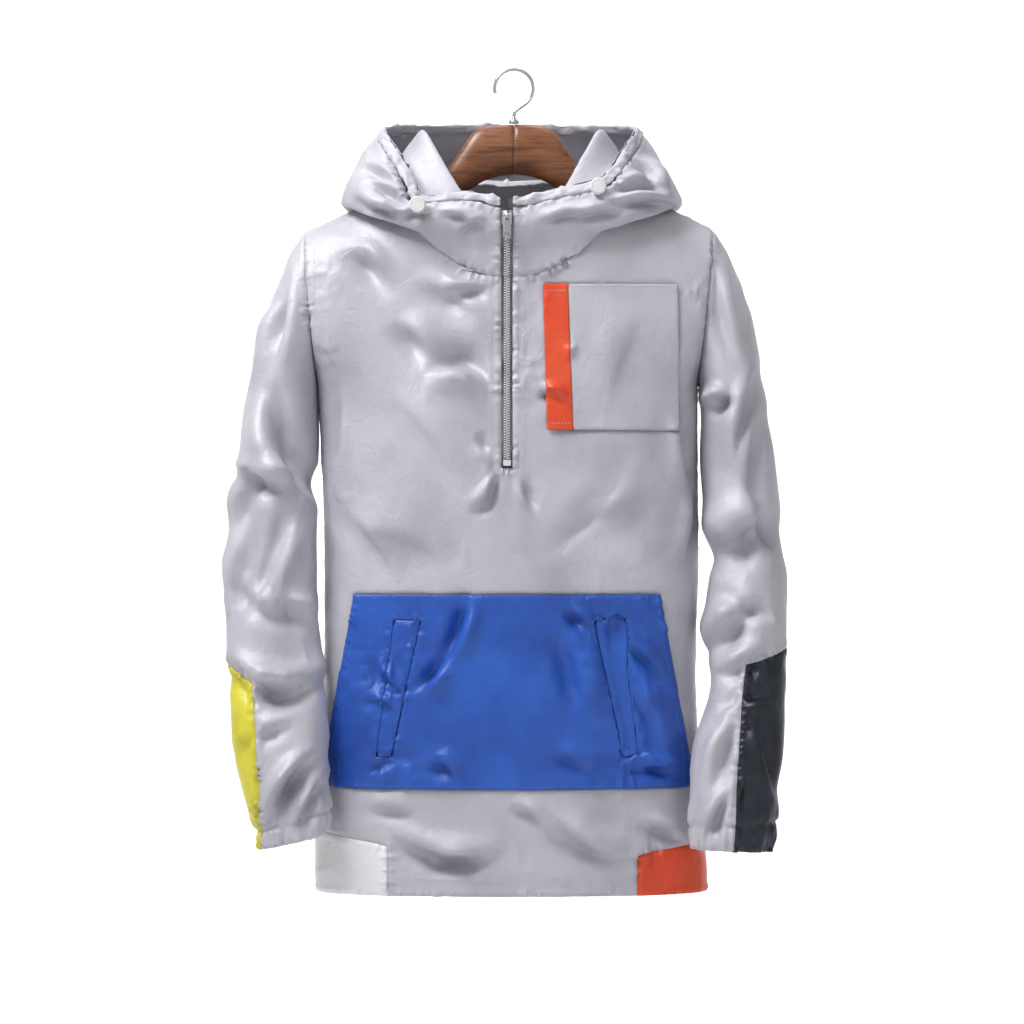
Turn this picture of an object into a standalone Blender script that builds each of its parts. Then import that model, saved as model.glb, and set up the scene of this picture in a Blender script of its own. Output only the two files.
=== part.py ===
"""Half-zip windbreaker jacket hanging on a wooden hanger.

Lengths are in millimetres and become metres when an object is made. X runs across, -Y is the
front of the jacket and +Z is up. The origin is inside the crown of the hanger's hook, so a
height is given as "down", the distance below that point. Left and right are the wearer's:
left is +X.
"""

import math

import bmesh
import bpy
import numpy as np

MM = 0.001
CLOTH = 1.0  # wall of one layer of cloth
HEM_CLOTH = 1.6  # wall where the cloth is turned under
GAP = 0.3  # between neighbouring pieces
SIDE_GAP = 0.3  # from the side and shoulder seams to each edge that meets there
LAYER = CLOTH + GAP  # from one layer's middle to the next one's

# ---------------------------------------------------------------- driving sizes
ZIP_X = -7.0  # the zip hangs a little to the wearer's right of the hook
ZIP_SLIT = 5.5  # half width of the slit that shows the teeth
ZIP_BOTTOM = 408.0
ROUNDNESS = 2.6  # exponent of the body's oval section
NECK_DOWN = 106.0  # side of the neck
NECK_DROP = {"front": 109.0, "back": 10.0}
NECK_HALF = {"right": 79.0, "left": 93.0}  # from the zip line to the side of the neck
SHOULDER = {"right": (207.0, 165.0), "left": (210.0, 163.0)}  # reach from the zip line, down
UNDERARM = {"right": (194.0, 317.0), "left": (194.5, 317.0)}
ARM_DEPTH = {"front": 46.0, "back": 44.0}  # half depth of the armhole
SHOULDER_ROUND = {"front": 70.0, "back": 60.0}
SIGN = {"right": -1.0, "left": 1.0}
FACE = {"front": -1.0, "back": 1.0}

# The body's section at each height: reach of each side from the zip line, and half depths.
BODY = np.array(
    [
        # down, right, left, front, back
        (90, 207, 210, 52, 42),
        (165, 207, 210, 58, 48),
        (223, 202, 204, 62, 51),
        (270, 198, 198, 66, 55),
        (317, 194, 194.5, 70, 58),
        (365, 190, 194, 72, 59),
        (415, 188, 194, 73, 60),
        (470, 187.5, 195.5, 74, 60),
        (520, 187.5, 196, 74, 60),
        (570, 187, 192.5, 75, 60),
        (620, 187, 191.5, 76, 60),
        (680, 190, 194, 76, 59),
        (735, 193, 198, 74, 57),
        (785, 195, 202, 71, 54),
        (812, 197, 206, 69, 52),
        (845, 196, 205, 66, 50),
    ]
)
RIGHT, LEFT, FRONT_DEPTH, BACK_DEPTH = 1, 2, 3, 4

# Upright grid lines of the front, as distances from the zip line at each height. They run
# through the edges of the pockets and panels, so each of those is a patch of this grid.
FRONT_LINE_DOWN = (100, 223, 370, 535, 560, 698, 730, 770, 845)
FRONT_LINES = {
    "slit": (5.5, 5.5, 5.5, 5.5, 5.5, 5.5, 5.5, 5.5, 5.5),
    "centre": (0, 20, 20, 24, 24, 26, 26, 24, 24),
    "band_inner": (0, 36, 40, 50, 52, 66, 66, 54, 50),
    "band_outer": (0, 61, 66, 83, 86, 116, 114, 92, 86),
    "welt_middle": (0, 80, 84, 98, 101, 124, 122, 108, 104),
    "welt_outer": (0, 98, 102, 111, 114, 132, 131, 125, 124),
    "chest_middle": (118, 134, 138, 132, 136, 160, 160, 150, 150),
    "pocket_edge": (160, 172, 174, 154, 158, 184, 189, 176, 176),
}
# Where those that end at the neckline meet it, as shares of the neck's half width.
NECK_SHARES = {"centre": 0.3, "band_inner": 0.62, "band_outer": 0.85, "welt_middle": 0.975, "welt_outer": 1.0}
SIDE_LINES = (0.38, 0.72, 1.0)  # the last lines, as shares of the way round to the side seam
LEVELS = {
    "hem": 838, "hem_stitch": 819, "panel_top": 790, "low": 758, "pocket_bottom": 730,
    "welt_bottom": 698, "p1": 664, "p2": 629, "p3": 594, "welt_top": 560, "pocket_top": 535,
    "waist": 500, "b1": 468, "b2": 438, "zip_bottom": ZIP_BOTTOM, "chest_bottom": 370,
    "b3": 343, "underarm": 317, "c1": 287, "c2": 255, "chest_top": 223,
}
TOP_SHARES = (0.35, 0.65, 0.85, 0.95, 1.0)  # rows from the chest pocket's top to the upper edge
BACK_LEVELS = (838, 819, 790, 735, 680, 620, 560, 500, 440, 380, 317, 270, 223)
BACK_ANGLES = (0, 11, 18, 30, 42, 54, 66, 78, 90)

# The panels let into the hem at each side: inner edge from the zip line, and their top edge.
HEM_PANEL = {
    "right": {"inner": 120.0, "top_inner": 787.0, "top_side": 774.0},
    "left": {"inner": 131.0, "top_inner": 797.0, "top_side": 785.0},
}

# Broad hollows (positive depth) and ridges of the body, each along a line on the front or back.
FRONT_FOLDS = (
    # x1, down1, x2, down2, half width, depth
    (-160, 180, -128, 235, 26, 5.0),
    (-128, 262, -90, 300, 24, 5.0),
    (-76, 292, -14, 322, 22, 7.0),
    (-80, 212, -40, 232, 18, 4.0),
    (-60, 335, -160, 470, 34, -3.5),
    (40, 430, 120, 500, 36, 3.5),
    (-130, 560, -60, 690, 24, 4.5),
    (70, 540, 120, 700, 26, 5.0),
    (-120, 768, 10, 796, 24, 5.0),
    (60, 742, 150, 790, 24, 4.5),
    (-20, 600, 20, 700, 60, -3.0),
)
BACK_FOLDS = (
    (-120, 230, -20, 330, 34, 5.0),
    (130, 240, 40, 360, 36, 5.0),
    (-60, 420, -150, 600, 34, 5.0),
    (60, 450, 130, 640, 38, 6.0),
    (0, 500, -10, 760, 44, -4.0),
    (-120, 760, 60, 800, 24, 4.0),
)

# Each sleeve, ring by ring from the armhole to the cuff. The outer and inner points are on the
# outline; the depth is half the ring's thickness, and the sag lets its front and back hang lower.
# The columns are outer x and down, inner x and down, middle y, depth and sag.
SLEEVE_RIGHT = np.array(
    [
        (-214, 165, -201, 317, 0, 46, 0),
        (-232, 190, -201.5, 330, 0, 50, 0),
        (-249, 234, -201.5, 342, 0, 52, 0),
        (-263, 272, -201, 357, -2, 52, 0),
        (-273, 323, -200, 380, -5, 51, 0),
        (-280, 379, -199, 410, -9, 50, 2),
        (-287, 440, -198.5, 456, -13, 49, 3),
        (-292, 501, -198, 502, -18, 48, 4),
        (-294.5, 551, -197.5, 553, -23, 46, 5),
        (-294.5, 586, -193, 592, -31, 44, 8),
        (-290, 604, -188.5, 620, -43, 42, 19),
        (-286.5, 655, -186, 662, -54, 40, 12),
        (-280, 702, -184, 704, -62, 38, 6),
        (-269.5, 744, -183, 738, -67, 35, 2),
        (-258, 772, -181, 752, -69, 29, 0),
        (-252, 789, -184, 773, -70, 27, 0),
    ]
)
SLEEVE_LEFT = np.array(
    [
        (203, 163, 187.5, 317, 0, 46, 0),
        (218, 182, 190.5, 331, 0, 50, 0),
        (235, 222, 190.5, 344, 0, 52, 0),
        (246.5, 262, 190.5, 362, -2, 52, 0),
        (256.5, 312, 190.5, 386, -5, 51, 0),
        (267, 379, 191, 418, -9, 49, 2),
        (274, 445, 196, 457, -13, 46, 2),
        (276, 486, 206.5, 485, -16, 44, 3),
        (277.5, 523, 195, 522, -21, 45, 3),
        (278, 568, 190.5, 572, -27, 44, 4),
        (277.5, 588, 198, 600, -32, 42, 10),
        (275, 632, 200, 632, -40, 41, 4),
        (273.5, 664, 187, 660, -52, 40, 2),
        (271, 697, 179, 690, -61, 38, 0),
        (267.5, 732, 175, 732, -67, 36, 0),
        (262.5, 768, 176, 762, -69, 31, 0),
        (257.5, 791, 175, 788, -70, 29, 0),
    ]
)
SLEEVES = {"right": SLEEVE_RIGHT, "left": SLEEVE_LEFT}
PANEL_RING = 10  # the ring where the coloured forearm panel starts
# Angles of the panel's two seams round the sleeve, from the outer edge, front positive.
PANEL_FRONT_SEAM = {"right": (63, 63, 62, 50, 34, 22), "left": (99, 106, 97, 93, 92, 90, 89)}
PANEL_BACK_SEAM = {"right": (-62, -62, -64, -72, -86, -92), "left": (-60, -60, -60, -60, -60, -60, -60)}
PANEL_GAP_ANGLE = 0.9  # degrees kept clear on each side of the let-in panel
PANEL_CELLS = 6
SLEEVE_CELLS = 18
SLEEVE_FOLDS = {
    # ring at the fold's middle, angle there, rings per degree, half width in rings, depth
    "right": ((4.2, 70, 0.022, 0.75, 6.0), (6.6, 60, 0.018, 0.7, 5.0), (9.2, 110, -0.012, 0.6, 6.0),
              (7.6, -90, 0.02, 0.7, 5.0), (12.2, 120, 0.016, 0.6, 4.0)),
    "left": ((4.4, 110, -0.02, 0.7, 6.0), (7.2, 90, 0.016, 0.7, 5.5), (9.6, 100, -0.014, 0.6, 6.0),
             (6.2, -90, -0.02, 0.7, 5.0), (12.4, 120, -0.014, 0.6, 4.0)),
}

# The right half of the hood, station by station from the zip round to the middle of the back.
# Each profile leaves the neck seam, rises to "lift", rolls out through "under" to the fold "low",
# and comes back up over "crest" to the opening, where the drawcord tunnel is.
HOOD_STATIONS = (0.0, 0.14, 0.30, 0.44, 0.56, 0.66, 0.76, 0.86, 0.94, 1.0)
HOOD_LIFT = (
    (-13, -61, 201), (-51, -62, 197), (-86, -57, 184), (-102, -32, 134), (-110, -4, 104),
    (-99, 30, 104), (-76, 50, 106), (-49, 56, 108), (-26, 58, 109), (-4, 59, 110),
)
HOOD_UNDER = (
    (-13, -63, 186), (-54, -65, 182), (-96, -67, 174), (-121, -42, 130), (-134, -8, 117),
    (-124, 28, 116), (-94, 56, 150), (-66, 66, 190), (-36, 70, 205), (-4, 71, 210),
)
HOOD_LOW = (
    (-12.5, -74.6, 170), (-62, -76, 163), (-111, -75, 163), (-151, -48, 156), (-180, -11, 143),
    (-174, 34, 148), (-139, 75, 205), (-104, 94, 280), (-59, 100, 322), (-4, 102, 332),
)
HOOD_CREST = (
    (-12.5, -75, 158), (-58, -79, 150), (-108, -78, 151), (-140, -66, 137), (-165, -42, 116),
    (-165, 10, 100), (-156, 42, 84), (-136, 98, 120), (-78, 134, 150), (-4, 141, 160),
)
HOOD_EDGE = (
    (-12.5, -74.8, 148), (-51, -71, 138), (-98, -72, 144), (-109, -62, 125), (-119, -48, 105),
    (-133, -24, 82), (-141, 2, 66), (-126, 46, 58), (-70, 80, 53), (-4, 92, 50),
)
# The wearer's left tunnel climbs sooner, so two of its stations sit higher.
HOOD_EDGE_LEFT_RISE = (0, 0, 16, 6, 0, 0, 0, 0, 0, 0)
HOOD_SHIFT_LEFT = -8.0  # the whole hood sits a little to the wearer's right
# The facing: from the tunnel into a hollow, up to a standing fold beside the neck, and down.
FACING_HOLLOW = (
    (-24, -63, 151), (-48, -60, 146), (-80, -56, 145), (-97, -42, 124), (-112, -22, 106),
    (-123, 4, 94), (-127, 28, 96),
)
FACING_FOLD = (
    (-24, -58, 156), (-40, -54, 139), (-54, -48, 123), (-65, -38, 103), (-79, -25, 80),
    (-93, -10, 57), (-99, 14, 72),
)
FACING_INSIDE = (
    (-24, -57, 188), (-48, -50, 178), (-68, -43, 162), (-78, -26, 130), (-87, -9, 92),
    (-92, 12, 80), (-86, 28, 86),
)
HOOD_COLUMNS, HOOD_ROWS = 16, 12
FACING_COLUMNS, FACING_ROWS = 12, 11
HOOD_CLEARANCE = 4.0  # of its wings above the shoulders
HOOD_MIDDLE_GAP = 0.3  # from the middle of the back to each half
TUNNEL = {"width": 11.0, "thickness": 3.4, "sides": 8}

HANGER = {"half_length": 198.0, "crown": 54.0, "square": 2.0}
HANGER_PROFILE = np.array(
    [
        # x, top, bottom, half thickness
        (0.15, 54, 107, 11.0),
        (20, 54.6, 109, 11.0),
        (38, 57, 117, 11.0),
        (46, 67.5, 124, 11.5),
        (56, 82, 129, 10.5),
        (65, 96, 133, 9.5),
        (74, 107.5, 138, 9.5),
        (86, 113, 144, 11.0),
        (105, 116.8, 152, 12.5),
        (140, 133.6, 167, 13.5),
        (170, 151.0, 181, 12.5),
        (188, 161.5, 187, 9.5),
        (195, 167.0, 186, 7.0),
        (198, 171.5, 181, 4.0),
    ]
)
HOOK = {"wire": 2.0, "inner_radius": 18.0, "end_angle": -35.0, "ferrule_radius": 5.5, "ferrule": 4.0}


# ---------------------------------------------------------------- objects and materials
def material(name, colour, roughness, metallic=0.0):
    found = bpy.data.materials.get(name)
    if found:
        return found
    made = bpy.data.materials.new(name)
    made.use_nodes = True
    shader = made.node_tree.nodes["Principled BSDF"]
    shader.inputs["Base Color"].default_value = (*colour, 1.0)
    shader.inputs["Roughness"].default_value = roughness
    shader.inputs["Metallic"].default_value = metallic
    return made


def finishes():
    return {
        "silver_nylon": material("silver_nylon", (0.66, 0.65, 0.70), 0.42),
        "blue_nylon": material("blue_nylon", (0.03, 0.16, 0.63), 0.42),
        "orange_nylon": material("orange_nylon", (0.90, 0.13, 0.04), 0.42),
        "yellow_nylon": material("yellow_nylon", (0.77, 0.70, 0.06), 0.42),
        "navy_nylon": material("navy_nylon", (0.012, 0.026, 0.06), 0.42),
        "white_nylon": material("white_nylon", (0.85, 0.85, 0.86), 0.42),
        "wood": material("wood", (0.26, 0.10, 0.045), 0.35),
        "chrome": material("chrome", (0.8, 0.8, 0.82), 0.12, 1.0),
        "zip_metal": material("zip_metal", (0.72, 0.72, 0.74), 0.28, 1.0),
        "zip_tape": material("zip_tape", (0.62, 0.61, 0.65), 0.7),
        "white_plastic": material("white_plastic", (0.86, 0.86, 0.85), 0.3),
    }


def make_object(name, vertices, faces, finish, smooth=True):
    """A closed mesh object from points in millimetres, its faces turned outwards."""
    mesh = bpy.data.meshes.new(name)
    mesh.from_pydata([tuple(c * MM for c in v) for v in vertices], [], faces)
    shape = bmesh.new()
    shape.from_mesh(mesh)
    bmesh.ops.recalc_face_normals(shape, faces=shape.faces)
    if shape.calc_volume(signed=True) < 0:
        bmesh.ops.reverse_faces(shape, faces=shape.faces)
    shape.to_mesh(mesh)
    shape.free()
    mesh.materials.append(finish)
    if smooth:
        mesh.shade_smooth()
        mesh.set_sharp_from_angle(angle=math.radians(50))
    made = bpy.data.objects.new(name, mesh)
    bpy.context.scene.collection.objects.link(made)
    return made


def grid_normals(grid, closed):
    """Unit normals of a grid of points (rows, columns, xyz)."""
    along = np.gradient(grid, axis=0)
    if closed:
        across = np.roll(grid, -1, axis=1) - np.roll(grid, 1, axis=1)
    else:
        across = np.gradient(grid, axis=1)
    normals = np.cross(across, along)
    return normals / np.maximum(np.linalg.norm(normals, axis=2, keepdims=True), 1e-9)


def wall(name, grid, finish, thickness=CLOTH, skip=(), closed=False, moved_out=0.0):
    """A cloth wall of one thickness round a grid of points, without the skipped cells."""
    grid = np.asarray(grid, dtype=float)
    rows, columns = grid.shape[:2]
    normals = grid_normals(grid, closed)
    half = np.broadcast_to(np.asarray(thickness, dtype=float) / 2, (rows,))[:, None, None]
    outer = grid + normals * (moved_out + half)
    inner = grid + normals * (moved_out - half)
    skip = set(skip)
    last = columns if closed else columns - 1
    cells = [(r, c) for r in range(rows - 1) for c in range(last) if (r, c) not in skip]
    used = {}
    vertices = []

    def corner(side, r, c):
        key = (side, r, c % columns)
        if key not in used:
            used[key] = len(vertices)
            vertices.append((outer if side else inner)[key[1], key[2]])
        return used[key]

    faces = []
    edges = {}
    for r, c in cells:
        loop = [(r, c), (r, c + 1), (r + 1, c + 1), (r + 1, c)]
        # Both faces, and every layer made from these points, are split along the same diagonal.
        for a, b, d in ((0, 1, 2), (0, 2, 3)):
            faces.append([corner(1, *loop[k]) for k in (a, b, d)])
            faces.append([corner(0, *loop[k]) for k in (d, b, a)])
        for a, b in zip(loop, loop[1:] + loop[:1]):
            a, b = (a[0], a[1] % columns), (b[0], b[1] % columns)
            key = frozenset((a, b))
            edges[key] = None if key in edges else (a, b)
    for edge in edges.values():
        if edge:
            a, b = edge
            faces.append([corner(1, *b), corner(1, *a), corner(0, *a), corner(0, *b)])
    return make_object(name, vertices, faces, finish)


def box(name, middle, size, finish):
    """A plain block between two corners, in millimetres."""
    low = [m - s / 2 for m, s in zip(middle, size)]
    high = [m + s / 2 for m, s in zip(middle, size)]
    vertices = [(x, y, z) for x in (low[0], high[0]) for y in (low[1], high[1]) for z in (low[2], high[2])]
    faces = [(0, 1, 3, 2), (4, 6, 7, 5), (0, 4, 5, 1), (2, 3, 7, 6), (0, 2, 6, 4), (1, 5, 7, 3)]
    return make_object(name, vertices, faces, finish, smooth=False)


def turned(name, profile, middle, axis, finish, sides=16):
    """A solid of revolution: (distance along the axis, radius) pairs round an axis."""
    axis = np.array(axis, dtype=float) / np.linalg.norm(axis)
    helper = np.array((0.0, 0.0, 1.0)) if abs(axis[2]) < 0.8 else np.array((1.0, 0.0, 0.0))
    u = np.cross(axis, helper)
    u /= np.linalg.norm(u)
    v = np.cross(axis, u)
    vertices = []
    for along, radius in profile:
        for k in range(sides):
            turn = 2 * math.pi * k / sides
            vertices.append(np.array(middle) + axis * along + radius * (u * math.cos(turn) + v * math.sin(turn)))
    faces = []
    for r in range(len(profile) - 1):
        for k in range(sides):
            n = (k + 1) % sides
            faces.append((r * sides + k, r * sides + n, (r + 1) * sides + n, (r + 1) * sides + k))
    faces.append(tuple(range(sides)))
    faces.append(tuple(range((len(profile) - 1) * sides, len(profile) * sides)))
    return make_object(name, vertices, faces, finish)


def boolean(target, operand, operation):
    """Joins or cuts with an object that the finished part leaves out."""
    operand.hide_render = True
    operand.display_type = "WIRE"
    cut = target.modifiers.new(operand.name, "BOOLEAN")
    cut.operation = operation
    cut.object = operand
    cut.solver = "EXACT"


def curve_through(points, shares):
    """Points on a smooth curve through the given points, at shares from 0 to 1 of their count."""
    points = np.asarray(points, dtype=float)
    padded = np.concatenate([[2 * points[0] - points[1]], points, [2 * points[-1] - points[-2]]])
    found = []
    for share in shares:
        place = share * (len(points) - 1)
        i = min(int(place), len(points) - 2)
        t = place - i
        p0, p1, p2, p3 = padded[i : i + 4]
        found.append(
            0.5 * (2 * p1 + (p2 - p0) * t + (2 * p0 - 5 * p1 + 4 * p2 - p3) * t**2 + (3 * p1 - p0 - 3 * p2 + p3) * t**3)
        )
    return np.array(found)


# ---------------------------------------------------------------- body
def body_size(down, column):
    return float(np.interp(down, BODY[:, 0], BODY[:, column]))


def reach(side, down):
    """Distance from the zip line to the side seam or, above the underarm, to the armhole."""
    (tip, tip_down), (arm, arm_down) = SHOULDER[side], UNDERARM[side]
    if down < arm_down:
        return float(np.interp(down, (tip_down, arm_down), (tip, arm)))
    return body_size(down, RIGHT if side == "right" else LEFT)


def armhole_depth(side, face, down):
    top, bottom = SHOULDER[side][1], UNDERARM[side][1]
    share = (down - (top + bottom) / 2) / ((bottom - top) / 2)
    return ARM_DEPTH[face] * math.sqrt(max(0.0, 1 - share * share))


def shoulder_down(side, distance):
    """Height of the shoulder seam at a distance from the zip line; it runs on inside the neck."""
    neck = NECK_HALF[side]
    tip, tip_down = SHOULDER[side]
    if distance < neck:
        return NECK_DOWN - (neck - distance) * 0.12
    return NECK_DOWN + (distance - neck) / (tip - neck) * (tip_down - NECK_DOWN)


def fold_shift(folds, x, down):
    """How far the hollows and ridges move a point of the body inwards."""
    shift = 0.0
    for x1, down1, x2, down2, width, depth in folds:
        run = np.array((x2 - x1, down2 - down1), dtype=float)
        to = np.array((x - x1, down - down1), dtype=float)
        share = float(np.clip(to @ run / (run @ run), 0, 1))
        apart = float(np.linalg.norm(to - share * run))
        taper = 0.55 + 0.45 * math.sin(math.pi * (0.15 + 0.7 * share))
        shift += depth * taper * math.exp(-((apart / width) ** 2))
    return shift


def body_point(side, face, distance, down):
    """A point of the body's middle surface, at a distance from the zip line and a height."""
    width = reach(side, down)
    share = min(distance / width, 1.0)
    oval = max(0.0, 1 - share**ROUNDNESS) ** (1 / ROUNDNESS)
    below = max(0.0, down - shoulder_down(side, distance))
    rounding = SHOULDER_ROUND[face]
    rise = math.sqrt(max(0.0, 1 - (1 - min(below / rounding, 1.0)) ** 2))
    edge = armhole_depth(side, face, down)
    depth = body_size(down, FRONT_DEPTH if face == "front" else BACK_DEPTH) * rise
    out = edge + (depth - edge) * oval
    x = ZIP_X + SIGN[side] * distance
    folds = FRONT_FOLDS if face == "front" else BACK_FOLDS
    out -= fold_shift(folds, x, down) * oval * rise
    return (x, FACE[face] * (out + SIDE_GAP), -down)


def neck_down(side, face, distance):
    """Height of the neckline at a distance from the zip line."""
    share = min(distance / NECK_HALF[side], 1.0)
    return NECK_DOWN + NECK_DROP[face] * (1 - share**2.8) ** (1 / 2.8)


def upper_edge(side, face, distance):
    if distance < NECK_HALF[side]:
        return neck_down(side, face, distance)
    return shoulder_down(side, distance)


def line_distance(side, name, down):
    values = list(FRONT_LINES[name])
    if name in NECK_SHARES:
        values[0] = NECK_HALF[side] * NECK_SHARES[name]
    return float(np.interp(down, FRONT_LINE_DOWN, values))


def angle_of(distance, width):
    return math.asin(min(1.0, (distance / width) ** (ROUNDNESS / 2)))


def distance_at(angle, width):
    return width * math.sin(angle) ** (2 / ROUNDNESS)


def front_distances(side, down, panel):
    """Distances of all the front's upright lines on one side at a height."""
    found = [line_distance(side, name, down) for name in FRONT_LINES]
    if panel:
        found[list(FRONT_LINES).index("welt_outer")] = HEM_PANEL[side]["inner"]
    width = reach(side, down)
    last = angle_of(min(found[-1], width * 0.985), width)
    found[-1] = distance_at(last, width)
    found += [distance_at(last + (math.pi / 2 - last) * share, width) for share in SIDE_LINES]
    return found


def panel_top(side, distance, width):
    """Height of the top edge of the hem panel."""
    panel = HEM_PANEL[side]
    share = np.clip((distance - panel["inner"]) / (width - panel["inner"]), 0, 1)
    return panel["top_inner"] + (panel["top_side"] - panel["top_inner"]) * share


def front_grid():
    """The front's grid: rows from the hem up, columns from the right side seam to the left."""
    halves = []
    for side in ("right", "left"):
        rows = []
        for name, level in LEVELS.items():
            panel = name in ("hem", "hem_stitch", "panel_top")
            distances = front_distances(side, level, panel)
            width = reach(side, level)
            downs = [panel_top(side, d, width) if name == "panel_top" else level for d in distances]
            rows.append([body_point(side, "front", d, z) for d, z in zip(distances, downs)])
        start = LEVELS["chest_top"]
        tops = front_distances(side, 100, False)
        base = front_distances(side, start, False)
        tip, tip_down = SHOULDER[side]
        for share in TOP_SHARES:
            row = []
            for k, (low, high) in enumerate(zip(base, tops)):
                high = tip if k == len(base) - 1 else high
                distance = low + (high - low) * share
                end = tip_down if k == len(base) - 1 else upper_edge(side, "front", high)
                down = start + (end - start) * share
                if k == len(base) - 1:
                    distance = reach(side, down)
                row.append(body_point(side, "front", distance, down))
            rows.append(row)
        halves.append(np.array(rows))
    return np.concatenate([halves[0][:, ::-1], halves[1]], axis=1)


LINE_NAMES = list(FRONT_LINES) + ["side1", "side2", "side_seam"]


def column(side, name):
    """Index in the front grid of a named upright line."""
    count = len(LINE_NAMES)
    place = LINE_NAMES.index(name)
    return count + place if side == "left" else count - 1 - place


def row(name):
    return list(LEVELS).index(name)


def cells(first_row, last_row, first_column, last_column):
    low, high = sorted((first_column, last_column))
    return [(r, c) for r in range(first_row, last_row) for c in range(low, high)]


def front_piece(grid, cloth):
    rows = grid.shape[0] - 1
    skip = cells(row("zip_bottom"), rows, column("right", "slit"), column("left", "slit"))
    for side in SIGN:
        skip += cells(0, row("panel_top"), column(side, "welt_outer"), column(side, "side_seam"))
    thickness = [HEM_CLOTH] * 2 + [CLOTH] * (rows - 1)
    return wall("front", grid, cloth["silver_nylon"], thickness, skip)


def back_grid():
    halves = []
    for side in ("right", "left"):
        rows = []
        for level in BACK_LEVELS:
            width = reach(side, level)
            distances = [distance_at(math.radians(a), width) for a in BACK_ANGLES]
            if level >= LEVELS["panel_top"]:
                distances[4] = HEM_PANEL[side]["inner"]
            downs = [level] * len(distances)
            if level == LEVELS["panel_top"]:
                downs = [panel_top(side, d, width) for d in distances]
            rows.append([body_point(side, "back", d, z) for d, z in zip(distances, downs)])
        start = BACK_LEVELS[-1]
        base = [distance_at(math.radians(a), reach(side, start)) for a in BACK_ANGLES]
        tops = [distance_at(math.radians(a), SHOULDER[side][0]) for a in BACK_ANGLES]
        tops[1], tops[2] = NECK_HALF[side] * 0.9, NECK_HALF[side]
        for share in TOP_SHARES:
            row_points = []
            for k, (low, high) in enumerate(zip(base, tops)):
                distance = low + (high - low) * share
                end = SHOULDER[side][1] if k == len(base) - 1 else upper_edge(side, "back", high)
                down = start + (end - start) * share
                if k == len(base) - 1:
                    distance = reach(side, down)
                row_points.append(body_point(side, "back", distance, down))
            rows.append(row_points)
        halves.append(np.array(rows))
    return np.concatenate([halves[0][:, :0:-1], halves[1]], axis=1)


def back_piece(grid, cloth):
    middle = len(BACK_ANGLES) - 1
    bottom = BACK_LEVELS.index(LEVELS["panel_top"])
    skip = []
    for r in range(bottom):
        skip += [(r, middle - 1 - k) for k in range(4, middle)]
        skip += [(r, middle + k) for k in range(4, middle)]
    thickness = [HEM_CLOTH] * 2 + [CLOTH] * (grid.shape[0] - 2)
    return wall("back", grid, cloth["silver_nylon"], thickness, skip)


def hem_panel(side, finish):
    """The panel let into the hem, from the front edge round the side seam to the back edge."""
    panel = HEM_PANEL[side]
    rows = []
    for level in (LEVELS["hem"], LEVELS["hem_stitch"], 806, "top"):
        points = []
        width = reach(side, 800 if level == "top" else level)
        start = angle_of(panel["inner"] + 0.8, width)
        shares = (0, 0.2, 0.42, 0.62, 0.82, 1.0)
        angles = [start + (math.pi / 2 - start) * s for s in shares]
        for face in ("front", "back"):
            turn = angles if face == "front" else angles[::-1][1:]
            for angle in turn:
                distance = distance_at(angle, width)
                down = level
                if level == "top":
                    down = panel_top(side, distance, width) + 0.8
                points.append(body_point(side, face, distance, down))
        rows.append(points)
    thickness = [HEM_CLOTH, HEM_CLOTH, CLOTH, CLOTH]
    return wall(f"hem_panel_{side}", rows, finish, thickness)


# ---------------------------------------------------------------- pockets
def patch(grid, first_row, last_row, first_column, last_column):
    low, high = sorted((first_column, last_column))
    return grid[first_row : last_row + 1, low : high + 1].copy()


def trimmed(piece, left=0.0, right=0.0):
    """A patch with its two upright edges moved in."""
    for side, amount in ((0, left), (-1, right)):
        if amount:
            inward = piece[:, 1 if side == 0 else -2] - piece[:, side]
            inward /= np.linalg.norm(inward, axis=1, keepdims=True)
            piece[:, side] += inward * amount
    return piece


def outward(grid):
    """+1 where the grid's own normals point away from the wearer on the front, else -1."""
    return 1.0 if grid_normals(grid, False)[:, :, 1].mean() < 0 else -1.0


def pockets(grid, cloth):
    out = outward(grid)
    bottom, top = row("pocket_bottom"), row("pocket_top")
    first, last = column("right", "pocket_edge"), column("left", "pocket_edge")
    pocket = patch(grid, bottom, top, first, last)
    low, high = row("welt_bottom") - bottom, row("welt_top") - bottom
    window = []
    for side in SIGN:
        a, b = column(side, "band_outer") - first, column(side, "welt_outer") - first
        window += cells(low, high, a, b)
    wall("kangaroo_pocket", pocket, cloth["blue_nylon"], CLOTH, window, moved_out=out * LAYER)
    for side in SIGN:
        a, b = column(side, "band_outer"), column(side, "welt_outer")
        strip = patch(grid, row("welt_bottom"), row("welt_top"), a, b)
        outer_gap, inner_gap = 3.0, 0.8
        if side == "left":
            strip = trimmed(strip, inner_gap, outer_gap)
        else:
            strip = trimmed(strip, outer_gap, inner_gap)
        strip[0, :, 2] += 0.8
        strip[-1, :, 2] -= 0.8
        wall(f"pocket_welt_{side}", strip, cloth["blue_nylon"], 1.4, moved_out=out * (LAYER + 0.2))

    low, high = row("chest_bottom"), row("chest_top")
    chest = patch(grid, low, high, column("left", "band_outer"), column("left", "pocket_edge"))
    wall("chest_pocket", trimmed(chest, 0.4), cloth["silver_nylon"], CLOTH, moved_out=out * LAYER)
    band = patch(grid, low, high, column("left", "band_inner"), column("left", "band_outer"))
    band = trimmed(band, 0.0, 0.4)
    wall("chest_pocket_band", band, cloth["orange_nylon"], 1.4, moved_out=out * (LAYER + 0.2))


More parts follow.
